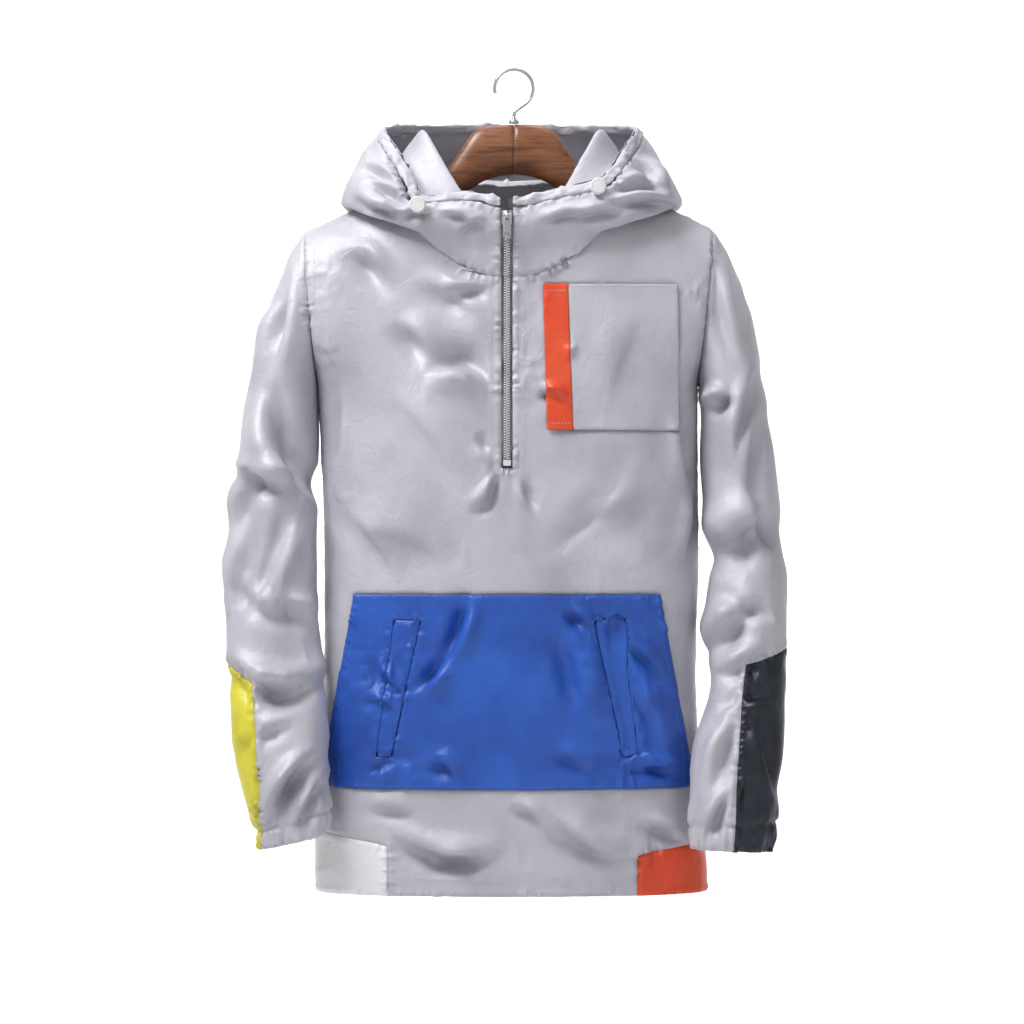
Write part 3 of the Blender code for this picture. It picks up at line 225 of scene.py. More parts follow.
# Folds of the hanging cloth, in mm: across, down, to across, to down, half width, height, bow.
# Looking along the line from its first point, the cloth stands up on the left and drops on the right.
frontFolds = (
    (-168, 187, -122, 226, 12, 3.0, 4),
    (-116, 262, -84, 296, 13, 3.5, 3),
    (-158, 186, -134, 210, 9, 2.5, 3),
    (-28, 320, -84, 312, 15, 6.5, -8),
    (-70, 232, -26, 226, 9, 4.0, 4),
    (-120, 340, -50, 440, 16, 1.6, 8),
    (120, 400, 40, 500, 18, 1.6, 8),
    (-172, 450, -120, 520, 14, 1.6, 5),
    (-96, 222, -40, 252, 14, 3.0, 5),
    (-16, 396, -40, 382, 8, 2.5, 2),
    (-44, 450, -20, 428, 8, 2.5, -2),
    (-28, 440, -16, 414, 5, 3.5, 2),
    (18, 450, 8, 420, 6, 2.5, 2),
    (26, 330, 50, 342, 7, 4.0, 3),
    (56, 300, 66, 286, 6, 2.0, 2),
    (-176, 330, -182, 430, 7, 2.5, 4),
    (176, 420, 168, 350, 8, 4.0, 4),
    (170, 500, 180, 430, 9, 3.0, -4),
    (96, 350, 134, 250, 22, 2.0, 6),
    (-150, 470, -70, 500, 30, 2.5, 8),
    (40, 480, 130, 440, 26, 2.5, 6),
    (-44, 538, -66, 600, 9, 5.0, 4),
    (-66, 598, -98, 634, 8, 4.5, 3),
    (-140, 600, -112, 632, 7, 4.0, -3),
    (-150, 640, -118, 648, 6, 2.5, 2),
    (-116, 700, -146, 716, 7, 3.5, 2),
    (-84, 700, -60, 716, 10, 4.0, 4),
    (54, 548, 80, 562, 7, 4.5, -3),
    (50, 576, 68, 650, 14, 4.5, 5),
    (108, 574, 152, 622, 6, 4.0, 2),
    (104, 612, 150, 690, 12, 4.0, 6),
    (112, 704, 168, 716, 7, 5.0, 3),
    (40, 690, 74, 712, 9, 3.0, 2),
    (-120, 778, -20, 794, 12, 6.0, -8),
    (-86, 806, -40, 800, 8, 3.5, 3),
    (36, 756, 104, 798, 14, 6.0, -5),
    (0, 744, 30, 762, 8, 3.5, 2),
    (130, 762, 172, 786, 9, 4.0, 3),
    (-150, 748, -100, 752, 9, 2.5, 2),
)
backFolds = (
    (-140, 330, -40, 372, 16, 5.0, 8),
    (40, 400, 130, 352, 16, 5.0, 8),
    (-70, 440, -150, 540, 15, 4.0, 6),
    (150, 610, 70, 470, 18, 4.5, 8),
    (-130, 706, 0, 730, 14, 5.0, -8),
    (40, 742, 150, 716, 14, 5.0, 6),
    (-30, 560, -110, 640, 20, 3.5, 6),
    (10, 640, 60, 560, 18, 3.5, -6),
    (-150, 780, -60, 796, 12, 4.0, 4),
    (60, 790, 130, 776, 12, 4.0, 4),
)
sleeveFolds = (
    (-204, 440, -252, 338, 15, 9.0, 10),
    (-284, 408, -216, 418, 10, 6.0, -5),
    (-226, 205, -248, 330, 10, 2.5, 4),
    (-216, 430, -270, 560, 12, 3.0, 8),
    (-288, 520, -214, 560, 10, 3.0, -6),
    (-276, 690, -222, 660, 9, 3.0, 4),
    (204, 190, 226, 300, 10, 2.5, -4),
    (262, 560, 206, 540, 10, 3.5, 5),
    (268, 500, 232, 420, 10, 3.0, 4),
    (258, 640, 208, 652, 9, 3.5, -5),
    (-262, 250, -270, 318, 9, 3.0, 3),
    (-250, 282, -236, 240, 8, 3.0, 2),
    (-284, 480, -262, 400, 9, 4.0, 4),
    (-290, 560, -268, 470, 13, 4.5, 5),
    (-234, 540, -206, 560, 10, 5.0, 3),
    (-286, 604, -194, 618, 13, 8.0, -14),
    (-270, 636, -240, 620, 8, 3.0, 3),
    (-236, 742, -196, 690, 9, 5.0, 6),
    (-246, 760, -214, 700, 8, 4.5, 3),
    (-216, 764, -190, 716, 6, 3.5, 3),
    (196, 346, 218, 334, 9, 6.0, 3),
    (222, 396, 246, 306, 10, 4.5, 5),
    (236, 430, 250, 350, 12, 4.0, 5),
    (200, 500, 262, 452, 22, 7.0, 8),
    (196, 590, 244, 540, 12, 6.0, 5),
    (206, 612, 252, 586, 10, 5.0, -3),
    (196, 720, 222, 660, 9, 4.5, 4),
    (214, 758, 232, 716, 7, 4.0, 3),
    (190, 776, 214, 728, 7, 4.0, 3),
    (262, 740, 244, 660, 9, 3.5, 4),
)
hoodFolds = (
    (-152, 100, -112, 126, 6, 4.0, 3),
    (-146, 116, -104, 146, 7, 4.5, 4),
    (-158, 134, -112, 152, 8, 4.0, -4),
    (-116, 158, -80, 148, 7, 3.5, 3),
    (-70, 152, -40, 164, 6, 3.0, 3),
    (-56, 172, -28, 160, 6, 2.5, 2),
    (92, 128, 150, 122, 7, 4.0, 4),
    (98, 142, 166, 140, 7, 4.5, 3),
    (60, 158, 110, 150, 7, 4.0, 3),
    (30, 160, 70, 152, 6, 3.0, 2),
    (126, 96, 152, 130, 8, 3.5, 4),
)


clothValues = {
    # in mm
    "thickness": 0.6, "rimWidth": 2.4, "fineReach": 9, "seamReach": 6.5, "pitch": 5.0,
    # times what a panel or a fold asks for
    "foldHeight": 3.3, "foldWidth": 0.72, "pucker": 2.1, "crush": 1.8, "dent": 1.5,
    # how much of the puckering the taut shoulders lose
    "shoulderCalm": 0.75,
}


def foldHeight(points, rows):
    across = points[:, 0] / mm
    down = -points[:, 2] / mm
    total = np.zeros(len(points))
    for x1, d1, x2, d2, halfWidth, height, bow in rows:
        run = np.array((x2 - x1, d2 - d1), float)
        length = np.linalg.norm(run)
        run /= length
        along = ((across - x1) * run[0] + (down - d1) * run[1]) / length
        aside = (across - x1) * -run[1] + (down - d1) * run[0]
        aside += bow * (1 - 4 * (np.clip(along, 0, 1) - 0.5) ** 2)
        aside /= halfWidth * clothValues["foldWidth"]
        fade = np.clip(1.25 - np.abs(along - 0.5) * 2.0, 0, 1) ** 1.2
        near = aside / (0.45 + 0.55 * np.minimum(np.abs(aside), 1))
        step = -near * np.exp(0.5 * (1 - near ** 2))
        total += clothValues["foldHeight"] * height * fade * np.where(aside < 0, 0.55, 0.75) * step
    return total


def skinOf(node, name, rimWidth, upright=False):
    # the outer side of a cloth wall, as an open sheet of quads
    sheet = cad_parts[node].copy()
    sheet.data = sheet.data.copy()
    sheet.data.materials.clear()
    scene.collection.objects.link(sheet)
    sheet.name = name
    onlySelect(sheet)
    bpy.ops.object.mode_set(mode="EDIT")
    bpy.ops.mesh.select_all(action="SELECT")
    bpy.ops.mesh.remove_doubles(threshold=0.00002)
    shape = bmesh.from_edit_mesh(sheet.data)
    for face in shape.faces:
        narrow = min(edge.calc_length() for edge in face.edges) < rimWidth * mm
        face.select = abs(face.normal.y) < 0.5 if upright else narrow
    bmesh.update_edit_mesh(sheet.data)
    bpy.ops.mesh.delete(type="FACE")
    shape = bmesh.from_edit_mesh(sheet.data)
    largest, largestArea = [], 0
    seen = set()
    for start in shape.faces:
        if start in seen:
            continue
        group = [start]
        seen.add(start)
        for face in group:
            for edge in face.edges:
                for other in edge.link_faces:
                    if other not in seen:
                        seen.add(other)
                        group.append(other)
        area = sum(face.calc_area() for face in group)
        if area > largestArea:
            largest, largestArea = group, area
    keep = set(largest)
    for face in shape.faces:
        face.select = face not in keep
    bmesh.update_edit_mesh(sheet.data)
    bpy.ops.mesh.delete(type="FACE")
    bpy.ops.mesh.select_all(action="SELECT")
    bpy.ops.mesh.tris_convert_to_quads(face_threshold=3.1, shape_threshold=3.1)
    shape = bmesh.from_edit_mesh(sheet.data)
    pinned = shape.verts.layers.float.new("crease_vert")
    for vert in shape.verts:
        rim = [edge for edge in vert.link_edges if edge.is_boundary]
        if len(rim) == 2:
            arms = [(edge.other_vert(vert).co - vert.co).normalized() for edge in rim]
            if arms[0].dot(arms[1]) > -0.8:
                vert[pinned] = 1.0
    bmesh.update_edit_mesh(sheet.data)
    bpy.ops.object.mode_set(mode="OBJECT")
    return sheet


def refine(item, levels):
    onlySelect(item)
    sub = item.modifiers.new("subdivision", "SUBSURF")
    sub.levels = sub.render_levels = levels
    sub.boundary_smooth = "PRESERVE_CORNERS"
    bpy.ops.object.modifier_apply(modifier=sub.name)


def refineNear(item, reach):
    # one more cut of the faces close to a rim, where the sewing gathers the cloth
    points, normals = readMesh(item)
    rim = treeOf(points[rimIndices(item)])
    near = np.array([rim.find(point)[2] for point in points]) < reach * mm
    onlySelect(item)
    bpy.ops.object.mode_set(mode="EDIT")
    shape = bmesh.from_edit_mesh(item.data)
    shape.verts.ensure_lookup_table()
    for face in shape.faces:
        face.select = all(near[vert.index] for vert in face.verts)
    bmesh.update_edit_mesh(item.data)
    bpy.ops.mesh.subdivide(number_cuts=1, smoothness=0, quadcorner="INNERVERT")
    bpy.ops.object.mode_set(mode="OBJECT")


def readMesh(item):
    count = len(item.data.vertices)
    points = np.empty(count * 3)
    normals = np.empty(count * 3)
    item.data.vertices.foreach_get("co", points)
    item.data.vertices.foreach_get("normal", normals)
    return points.reshape(-1, 3), normals.reshape(-1, 3)


def writeMesh(item, points):
    item.data.vertices.foreach_set("co", points.ravel())
    item.data.update()


def rimIndices(item):
    edges = np.empty(len(item.data.edges) * 2, int)
    item.data.edges.foreach_get("vertices", edges)
    uses = np.zeros(len(item.data.edges), int)
    loopEdges = np.empty(len(item.data.loops), int)
    item.data.loops.foreach_get("edge_index", loopEdges)
    np.add.at(uses, loopEdges, 1)
    return np.unique(edges.reshape(-1, 2)[uses == 1])


def treeOf(points):
    tree = KDTree(len(points))
    for index, point in enumerate(points):
        tree.insert(point, index)
    tree.balance()
    return tree


def flatMap(item, points):
    # a UV map in metres, across and down, so that the weave keeps its size
    layer = item.data.uv_layers.get("cloth") or item.data.uv_layers.new(name="cloth")
    loops = np.empty(len(item.data.loops), int)
    item.data.loops.foreach_get("vertex_index", loops)
    u = points[:, 0] + 0.8 * points[:, 1] * np.sign(points[:, 0])
    layer.data.foreach_set("uv", np.stack([u[loops], points[loops, 2]], axis=1).ravel())


def closeSeams(sheets):
    # neighbours' edges are brought together, and get one direction to swell in
    rims = {}
    for name, sheet in sheets.items():
        points, normals = readMesh(sheet)
        rims[name] = (rimIndices(sheet), points, normals)
    places = np.concatenate([points[rim] for rim, points, normals in rims.values()])
    directions = np.concatenate([normals[rim] for rim, points, normals in rims.values()])
    owners = np.concatenate([np.full(len(rim), k) for k, (rim, p, n) in enumerate(rims.values())])
    tree = treeOf(places)
    for k, (name, (rim, points, normals)) in enumerate(rims.items()):
        pull = np.zeros((len(rim), 3))
        shared = normals[rim].copy()
        for place, index in enumerate(rim):
            found = tree.find_range(points[index], clothValues["seamReach"] * mm)
            others = [row for row in found if owners[row[1]] != k]
            if not others:
                continue
            nearest = min(others, key=lambda row: row[2])
            pull[place] = (np.array(nearest[0]) - points[index]) * 0.5
            shared[place] = normals[index] + directions[[row[1] for row in others]].mean(axis=0)
        # even the pull along the rim
        rimTree = treeOf(points[rim])
        nearby = [[row[1] for row in rimTree.find_range(points[index], 6 * mm)] for index in rim]
        pull = np.array([pull[near].mean(axis=0) for near in nearby])
        shared = np.array([shared[near].mean(axis=0) for near in nearby])
        shared /= np.linalg.norm(shared, axis=1)[:, None]
        found = [rimTree.find(point) for point in points]
        nearest = np.array([row[1] for row in found])
        distance = np.array([row[2] for row in found]) / mm
        blend = np.exp(-(distance / 9) ** 2)[:, None]
        way = normals * (1 - blend) + shared[nearest] * blend
        way /= np.linalg.norm(way, axis=1)[:, None]
        moved = points + pull[nearest] * np.exp(-(distance / 5) ** 2)[:, None]
        writeMesh(sheets[name], moved)
        rims[name] = (moved, way, distance, points[rim][nearest])
    return rims


def crumple(sheet, look, facts):
    points, way, distance, rim = facts
    front = smoothStep(-0.25, 0.3, -way[:, 1])
    behind = smoothStep(-0.25, 0.3, way[:, 1])
    # at a seam only what both neighbours share may move the cloth
    hold = 1 - look.get("sewn", 1) * np.exp(-(distance / 8) ** 2)
    move = foldHeight(points, look.get("front", ())) * front * hold
    move += foldHeight(points, look.get("behind", ())) * behind * hold
    swell = 1.2 + (look.get("swell", 1.2) - 1.2) * hold
    move += swell * noise(points, (110, 95, 130), 3) + 0.45 * swell * noise(points, (46, 50, 60), 5)
    patch = smoothStep(-0.1, 0.6, noise(points, (70, 80, 90), 9))
    crush = 0.8 + (look.get("crush", 0.8) - 0.8) * hold
    move += clothValues["crush"] * crush * patch * (ridged(points, (26, 30, 34), 11) - 0.35)
    for x, bottom, width in look.get("still", ()):
        # no dips beside the zip, whose tapes lie right under the cloth
        clear = smoothStep(width, width + 12, np.abs(points[:, 0] / mm - x))
        clear = np.maximum(clear, smoothStep(bottom, bottom + 10, -points[:, 2] / mm))
        move = np.where(move < 0, move * clear, move)
    # the seams draw the cloth into short ridges that run out from them
    pitch = clothValues["pitch"]
    uneven = smoothStep(-0.5, 0.6, noise(rim, (30, 30, 30), 21))
    reach = look.get("reach", 9) * (0.6 + 0.9 * smoothStep(-0.4, 0.8, noise(rim, (22, 22, 22), 23)))
    drawn = ridged(rim, (pitch, pitch, pitch), 25) * 1.5 - 0.6 + 0.5 * noise(rim, (pitch * 2.3,) * 3, 27)
    chop = 1 + 0.5 * noise(points, (8, 8, 8), 29)
    # calmer along the side seams, and on the shoulders, where the hanger holds the cloth taut
    rimAside = np.abs(rim[:, 0] / mm)
    calm = 1 - look.get("calm", 0) * smoothStep(300, 350, -rim[:, 2] / mm) * smoothStep(140, 160, rimAside)
    shoulder = smoothStep(-190, -170, rim[:, 2] / mm) * smoothStep(110, 135, rimAside)
    calm *= 1 - clothValues["shoulderCalm"] * shoulder
    pucker = calm * clothValues["pucker"] * look.get("pucker", 1.0) * (0.35 + 0.65 * uneven)
    move += pucker * drawn * chop * np.exp(-(distance / reach) ** 2)
    move += look.get("roll", 0.5) * np.exp(-((distance - 4) / 2.6) ** 2)
    move -= look.get("groove", 0.8) * np.exp(-(distance / 1.9) ** 2)
    if "floor" in look:
        # dips fade out towards the edges, so that the cloth below stays covered
        give = 0.3 + look.get("give", 0) * smoothStep(6, 20, distance)
        move = look["floor"] + np.maximum(move, give * move)
    for corners, drop in look.get("under", ()):
        move -= drop * insideOf(points, corners) * front
    for x, down, radius, strength in look.get("crushed", ()):
        away = np.hypot(points[:, 0] / mm - x, points[:, 2] / mm + down) / radius
        dent = clothValues["dent"] * strength * hold * np.exp(-away ** 2)
        move += dent * (ridged(points, (11, 12, 13), 31) - 0.35) * front
    if "band" in look:
        move += cuffBand(points, *look["band"])
    writeMesh(sheet, points + way * move[:, None] * mm)


def cuffBand(points, x1, d1, x2, d2, depth):
    # elastic cuff below a line: upright gathers that puff out, a stitched groove on top, and pleats above
    length = math.hypot(x2 - x1, d2 - d1)
    below = ((x2 - x1) * (-points[:, 2] / mm - d1) - (d2 - d1) * (points[:, 0] / mm - x1)) / length
    ribs = noise(points, (4.6, 4.6, 70), 51)
    pleats = noise(points, (9, 9, 60), 53)
    puff = np.sin(math.pi * np.clip(below / depth, 0, 1))
    gathered = smoothStep(-1, 3, below)
    above = smoothStep(-26, 0, below) * (1 - gathered)
    return gathered * (3.2 * ribs + 1.6 * puff) + above * 4.0 * pleats - 2.4 * np.exp(-(below / 2.0) ** 2)


def insideOf(points, corners):
    # 1 well inside a convex outline given clockwise from its top left, fading to 0 at its edge
    across = points[:, 0] / mm
    down = -points[:, 2] / mm
    depth = np.full(len(points), 1e9)
    for (x1, d1), (x2, d2) in zip(corners, corners[1:] + corners[:1]):
        length = math.hypot(x2 - x1, d2 - d1)
        depth = np.minimum(depth, ((x2 - x1) * (down - d1) - (d2 - d1) * (across - x1)) / length)
    return smoothStep(-2.5, 2.5, depth)


def thicken(sheet, thickness):
    onlySelect(sheet)
    wall = sheet.modifiers.new("wall", "SOLIDIFY")
    wall.thickness = thickness * mm
    wall.offset = -1
    bpy.ops.object.modifier_apply(modifier=wall.name)
    bpy.ops.object.shade_smooth()


print("camera and studio")
makeCamera()
makeStudio()

print("materials")
silver = makeNylon("silver_taffeta", "#C7C5CD", "#D0CED6", "#B8B6C0", rough=0.50, metallic=0.12)
blue = makeNylon("blue_taffeta", "#2258BC", "#2B66CC", "#1A49A4", rough=0.42)
orange = makeNylon("orange_taffeta", "#EE4E26", "#F4633A", "#E2461D")
yellow = makeNylon("yellow_taffeta", "#DDD43C", "#E5DC50", "#CFC42E")
navy = makeNylon("navy_taffeta", "#0C1524", "#111C2E", "#080F1A", rough=0.36, sheen=0.02)
white = makeNylon("white_taffeta", "#FAFAFC", "#FDFDFE", "#F2F2F6")

# what each panel is cut from, and how it hangs: flat width and length of the cut in metres, its area
seamy = {"front": frontFolds, "behind": backFolds}
arms = {"front": sleeveFolds, "behind": sleeveFolds, "swell": 1.8, "crush": 1.4, "pucker": 1.5}
pocketCrush = ((-142, 622, 30, 3.5), (-110, 706, 24, 4.5), (110, 700, 30, 4.5), (128, 640, 30, 4.0),
               (-90, 580, 24, 3.0), (80, 590, 22, 3.5))
leftBand = (174, 766, 257, 762, 24)
rightBand = (-247, 769, -180, 749, 18)
body = dict(seamy, cloth=silver, slot="silver_nylon", flat=(0.52, 0.74), area=0.30, reach=10, calm=0.8)
sleeve = dict(arms, cloth=silver, slot="silver_nylon", flat=(0.30, 0.63))
welt = dict(seamy, cloth=blue, slot="blue_nylon", flat=(0.02, 0.14), area=0.0025, pucker=0.4,
            sewn=0, floor=0.9, rimWidth=1.6, crushed=pocketCrush)
hood = dict(front=hoodFolds, cloth=silver, slot="silver_nylon", flat=(0.36, 0.36),
            swell=1.8, crush=1.8, pucker=1.4, rimWidth=1.4)
facing = dict(cloth=silver, slot="silver_nylon", flat=(0.13, 0.14),
              swell=0.8, crush=0.6, pucker=0.8, rimWidth=1.4, levels=2)
panels = {
    "front": dict(body, pucker=1.4,
                  still=((-7, 412, 13),),
                  under=((((-161, 535), (146, 535), (175, 728), (-181, 728)), 4.0),
                         (((76, 552), (120, 552), (136, 704), (94, 704)), 4.0),
                         (((-130, 552), (-88, 552), (-112, 704), (-150, 704)), 3.0),
                         (((32, 223), (163, 223), (168, 370), (36, 370)), 2.5)),
                  crushed=((-196, 220, 18, 2.0), (-188, 290, 16, 2.5), (182, 230, 18, 2.0),
                           (176, 300, 16, 2.5), (-20, 412, 16, 3.0), (10, 300, 14, 2.5),
                           (24, 330, 20, 3.0), (14, 250, 14, 2.5))),
    "back": dict(body, pucker=1.3),
    "sleeve_left": dict(sleeve, band=leftBand, area=0.13),
    "sleeve_right": dict(sleeve, band=rightBand, area=0.14),
    "forearm_panel_left": dict(arms, band=leftBand, cloth=navy, slot="navy_nylon",
                               flat=(0.11, 0.20), area=0.021),
    "forearm_panel_right": dict(arms, band=rightBand, cloth=yellow, slot="yellow_nylon",
                                flat=(0.09, 0.19), area=0.0152),
    "hem_panel_left": dict(seamy, cloth=orange, slot="orange_nylon", flat=(0.19, 0.055), area=0.0095),
    "hem_panel_right": dict(seamy, cloth=white, slot="white_nylon", flat=(0.20, 0.065), area=0.012),
    "kangaroo_pocket": dict(seamy, cloth=blue, slot="blue_nylon", flat=(0.38, 0.20), area=0.064, pucker=1.3,
                            sewn=0, floor=0.5, give=0.7,
                            under=((((-118, 562), (-96, 562), (-121, 696), (-137, 696)), 1.2),
                                   (((83, 562), (110, 562), (126, 696), (102, 696)), 1.2)),
                            crushed=pocketCrush),
    "pocket_welt_left": welt,
    "pocket_welt_right": welt,
    "chest_pocket": dict(seamy, cloth=silver, slot="silver_nylon", flat=(0.115, 0.147), area=0.0165,
                         pucker=0.5, sewn=0, floor=0.5, roll=0.2, groove=0.5, crush=0.4),
    "chest_pocket_band": dict(seamy, cloth=orange, slot="orange_nylon", flat=(0.027, 0.147), area=0.0037,
                              pucker=0.4, roll=0.3, groove=0.3, sewn=0, floor=1.0),
    "hood_left": dict(hood, area=0.104),
    "hood_right": dict(hood, area=0.102),
    "hood_facing_left": dict(facing, area=0.0155),
    "hood_facing_right": dict(facing, area=0.0157),
}

print("cloth")
sheets = {}
for node, look in panels.items():
    rimWidth = look.get("rimWidth", clothValues["rimWidth"])
    sheets[node] = skinOf(node, node + "_cloth", rimWidth, "welt" in node)
    refine(sheets[node], look.get("levels", 3))
    refineNear(sheets[node], clothValues["fineReach"])
seams = closeSeams(sheets)
for node, look in panels.items():
    sheet = sheets[node]
    crumple(sheet, look, seams[node])
    flatMap(sheet, seams[node][0])
    thicken(sheet, clothValues["thickness"])
    sheet.data.materials.append(look["cloth"])
    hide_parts(node)
    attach(sheet, "garment")


def copyNode(node, levels, material, creaseAngle=None):
    # a CAD node as one smooth skin
    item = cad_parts[node].copy()
    item.data = item.data.copy()
    item.data.materials.clear()
    scene.collection.objects.link(item)
    item.name = node + "_fine"
    onlySelect(item)
    bpy.ops.object.mode_set(mode="EDIT")
    bpy.ops.mesh.select_all(action="SELECT")
    bpy.ops.mesh.remove_doubles(threshold=0.00001)
    bpy.ops.mesh.tris_convert_to_quads(face_threshold=0.7, shape_threshold=3.1)
    if creaseAngle:
        shape = bmesh.from_edit_mesh(item.data)
        sharp = shape.edges.layers.float.new("crease_edge")
        for edge in shape.edges:
            if len(edge.link_faces) == 2 and edge.calc_face_angle() > math.radians(creaseAngle):
                edge[sharp] = 0.8
        bmesh.update_edit_mesh(item.data)
    bpy.ops.object.mode_set(mode="OBJECT")
    if levels:
        refine(item, levels)
    item.data.materials.append(material)
    onlySelect(item)
    bpy.ops.object.shade_smooth_by_angle(angle=math.radians(40))
    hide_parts(node)
    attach(item, "zip_pull" if node == "zip_pull" else "garment")
    return item


def makeTunnel(side):
    tunnel = copyNode("hood_tunnel_" + side, 3, silver)
    points, normals = readMesh(tunnel)
    gather = tunnelLook["gather"] * noise(points, (4.6, 4.6, 4.6), 41)
    gather += tunnelLook["wave"] * noise(points, (13, 13, 13), 43)
    moved = points + normals * (tunnelLook["fuller"] + gather)[:, None] * mm
    moved[:, 2] -= tunnelLook["lower"] * mm * smoothStep(0.0, 0.08, points[:, 1])
    writeMesh(tunnel, moved)
    flatMap(tunnel, points)


def makeWood():
    # beech, steam bent, stained and lacquered: long dark pores along the grain under a soft gloss
    material, tree, shader = newMaterial("stained_beech")
    place = addNode(tree, "ShaderNodeTexCoord")
    along = addNode(tree, "ShaderNodeMapping", {"Scale": (14, 90, 160), "Rotation": (0, 0.35, 0)},
                    {"Vector": place.outputs["Object"]})
    grain = addNode(tree, "ShaderNodeTexNoise",
                    {"Scale": 1.0, "Detail": 6.0, "Roughness": 0.62, "Distortion": 0.8},
                    {"Vector": along.outputs["Vector"]})
    pores = addNode(tree, "ShaderNodeMapping", {"Scale": (60, 500, 900), "Rotation": (0, 0.35, 0)},
                    {"Vector": place.outputs["Object"]})
    poreNoise = addNode(tree, "ShaderNodeTexNoise", {"Scale": 1.0, "Detail": 2.0},
                        {"Vector": pores.outputs["Vector"]})
    ramp = addNode(tree, "ShaderNodeValToRGB", links={"Fac": grain.outputs["Fac"]})
    for element, position, tint in zip(ramp.color_ramp.elements, (0.30, 0.72), ("#5E3620", "#A2683F")):
        element.position = position
        element.color = linear(tint)
    middle = ramp.color_ramp.elements.new(0.5)
    middle.color = linear("#87512F")
    dark = addNode(tree, "ShaderNodeMapRange",
                   {"From Min": 0.28, "From Max": 0.42, "To Min": 0.45, "To Max": 1.0},
                   {"Value": poreNoise.outputs["Fac"]})
    colour = addNode(tree, "ShaderNodeMix", {"data_type": "RGBA", "blend_type": "MULTIPLY"})
    colour.inputs["Factor"].default_value = 1.0
    tree.links.new(ramp.outputs["Color"], colour.inputs[6])
    tree.links.new(dark.outputs["Result"], colour.inputs[7])
    bump = addNode(tree, "ShaderNodeBump", {"Strength": 0.35, "Distance": 0.0004},
                   {"Height": grain.outputs["Fac"]})
    tree.links.new(colour.outputs[2], shader.inputs["Base Color"])
    tree.links.new(bump.outputs["Normal"], shader.inputs["Normal"])
    shader.inputs["Roughness"].default_value = 0.42
    shader.inputs["Coat Weight"].default_value = 0.35
    shader.inputs["Coat Roughness"].default_value = 0.2
    return material


def makePlain(name, hexColour, rough, metallic=0.0, grit=300.0, depth=0.00002, shift=0.08):
    # moulded, cast or drawn finishes: even colour, with fine uneven gloss from the tool
    material, tree, shader = newMaterial(name)
    place = addNode(tree, "ShaderNodeTexCoord")
    speck = addNode(tree, "ShaderNodeTexNoise", {"Scale": grit, "Detail": 3.0},
                    {"Vector": place.outputs["Object"]})
    gloss = addNode(tree, "ShaderNodeMapRange", {"To Min": max(rough - shift, 0.02), "To Max": rough + shift},
                    {"Value": speck.outputs["Fac"]})
    bump = addNode(tree, "ShaderNodeBump", {"Strength": 0.3, "Distance": depth},
                   {"Height": speck.outputs["Fac"]})
    shader.inputs["Base Color"].default_value = linear(hexColour)
    shader.inputs["Metallic"].default_value = metallic
    tree.links.new(gloss.outputs["Result"], shader.inputs["Roughness"])
    tree.links.new(bump.outputs["Normal"], shader.inputs["Normal"])
    return material


def makeTape(name, hexColour):
    # close-woven tape: matt, with slanted ribs 1.7 mm apart
    material, tree, shader = newMaterial(name)
    place = addNode(tree, "ShaderNodeTexCoord")
    ribs = addNode(tree, "ShaderNodeTexWave",
                   {"Scale": 210.0, "Distortion": 1.0, "bands_direction": "DIAGONAL"},
                   {"Vector": place.outputs["Object"]})
    bump = addNode(tree, "ShaderNodeBump", {"Strength": 0.5, "Distance": 0.0003},
                   {"Height": ribs.outputs["Fac"]})
    # painted shade: the colour is darkened in the grooves between the ribs, following the same height as the
    # bump
    shade = addNode(tree, "ShaderNodeMapRange", {"To Min": 0.75, "To Max": 1.0},
                    {"Value": ribs.outputs["Fac"]})
    colour = addNode(tree, "ShaderNodeMix", {"data_type": "RGBA", "blend_type": "MULTIPLY"})
    colour.inputs["Factor"].default_value = 1.0
    colour.inputs[6].default_value = linear(hexColour)
    tree.links.new(shade.outputs["Result"], colour.inputs[7])
    tree.links.new(colour.outputs[2], shader.inputs["Base Color"])
    tree.links.new(bump.outputs["Normal"], shader.inputs["Normal"])
    shader.inputs["Roughness"].default_value = 0.75
    shader.inputs["Sheen Weight"].default_value = 0.2
    return material


print("hanger, tunnels and small parts")
wood = makeWood()
steel = makePlain("polished_steel", "#D8D8DC", 0.10, 1.0, 120.0, 0.00001, 0.04)
zinc = makePlain("cast_zinc", "#C9C9CE", 0.26, 1.0)
acetal = makePlain("moulded_acetal", "#EFEFEE", 0.30)
coil = makePlain("polyester_coil", "#E2E2E6", 0.34)
tape = makeTape("herringbone_tape", "#8F8D96")
thread = makePlain("polyester_thread", "#C9C7CF", 0.5, 0.0, 900.0)
blueThread = makePlain("blue_polyester_thread", "#3E76D6", 0.5, 0.0, 900.0)

tunnelLook = {"gather": 1.6, "wave": 1.4, "fuller": 0.9, "lower": 2.6}
ringLook = {"radii": (6.6, 3.8), "thickness": 0.7, "sunk": 0.5}
for side in ("left", "right"):
    makeTunnel(side)
    copyNode("hanger_" + side, 2, wood, 60)
    copyNode("cord_stopper_" + side, 2, acetal)
    edge = copyNode("zip_tape_" + side, 0, tape)
    # two moulded rings on the face of each stopper, round the press button
    stopper = readMesh(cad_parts["cord_stopper_" + side])[0]
    centre = (stopper.min(axis=0) + stopper.max(axis=0)) / 2
    for number, radius in enumerate(ringLook["radii"]):
        place = (centre[0], stopper[:, 1].min() + ringLook["sunk"] * mm, centre[2])
        bpy.ops.mesh.primitive_torus_add(major_radius=radius * mm, minor_radius=ringLook["thickness"] * mm,
                                         major_segments=40, minor_segments=8,
                                         rotation=(math.pi / 2, 0, 0), location=place)
        ring = bpy.context.object
        onlySelect(ring)
        ring.name = "stopper_ring_%s_%d" % (side, number + 1)
        bpy.ops.object.transform_apply(location=True, rotation=True, scale=True)
        bpy.ops.object.shade_smooth()
        ring.data.materials.append(acetal)
        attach(ring, "garment")
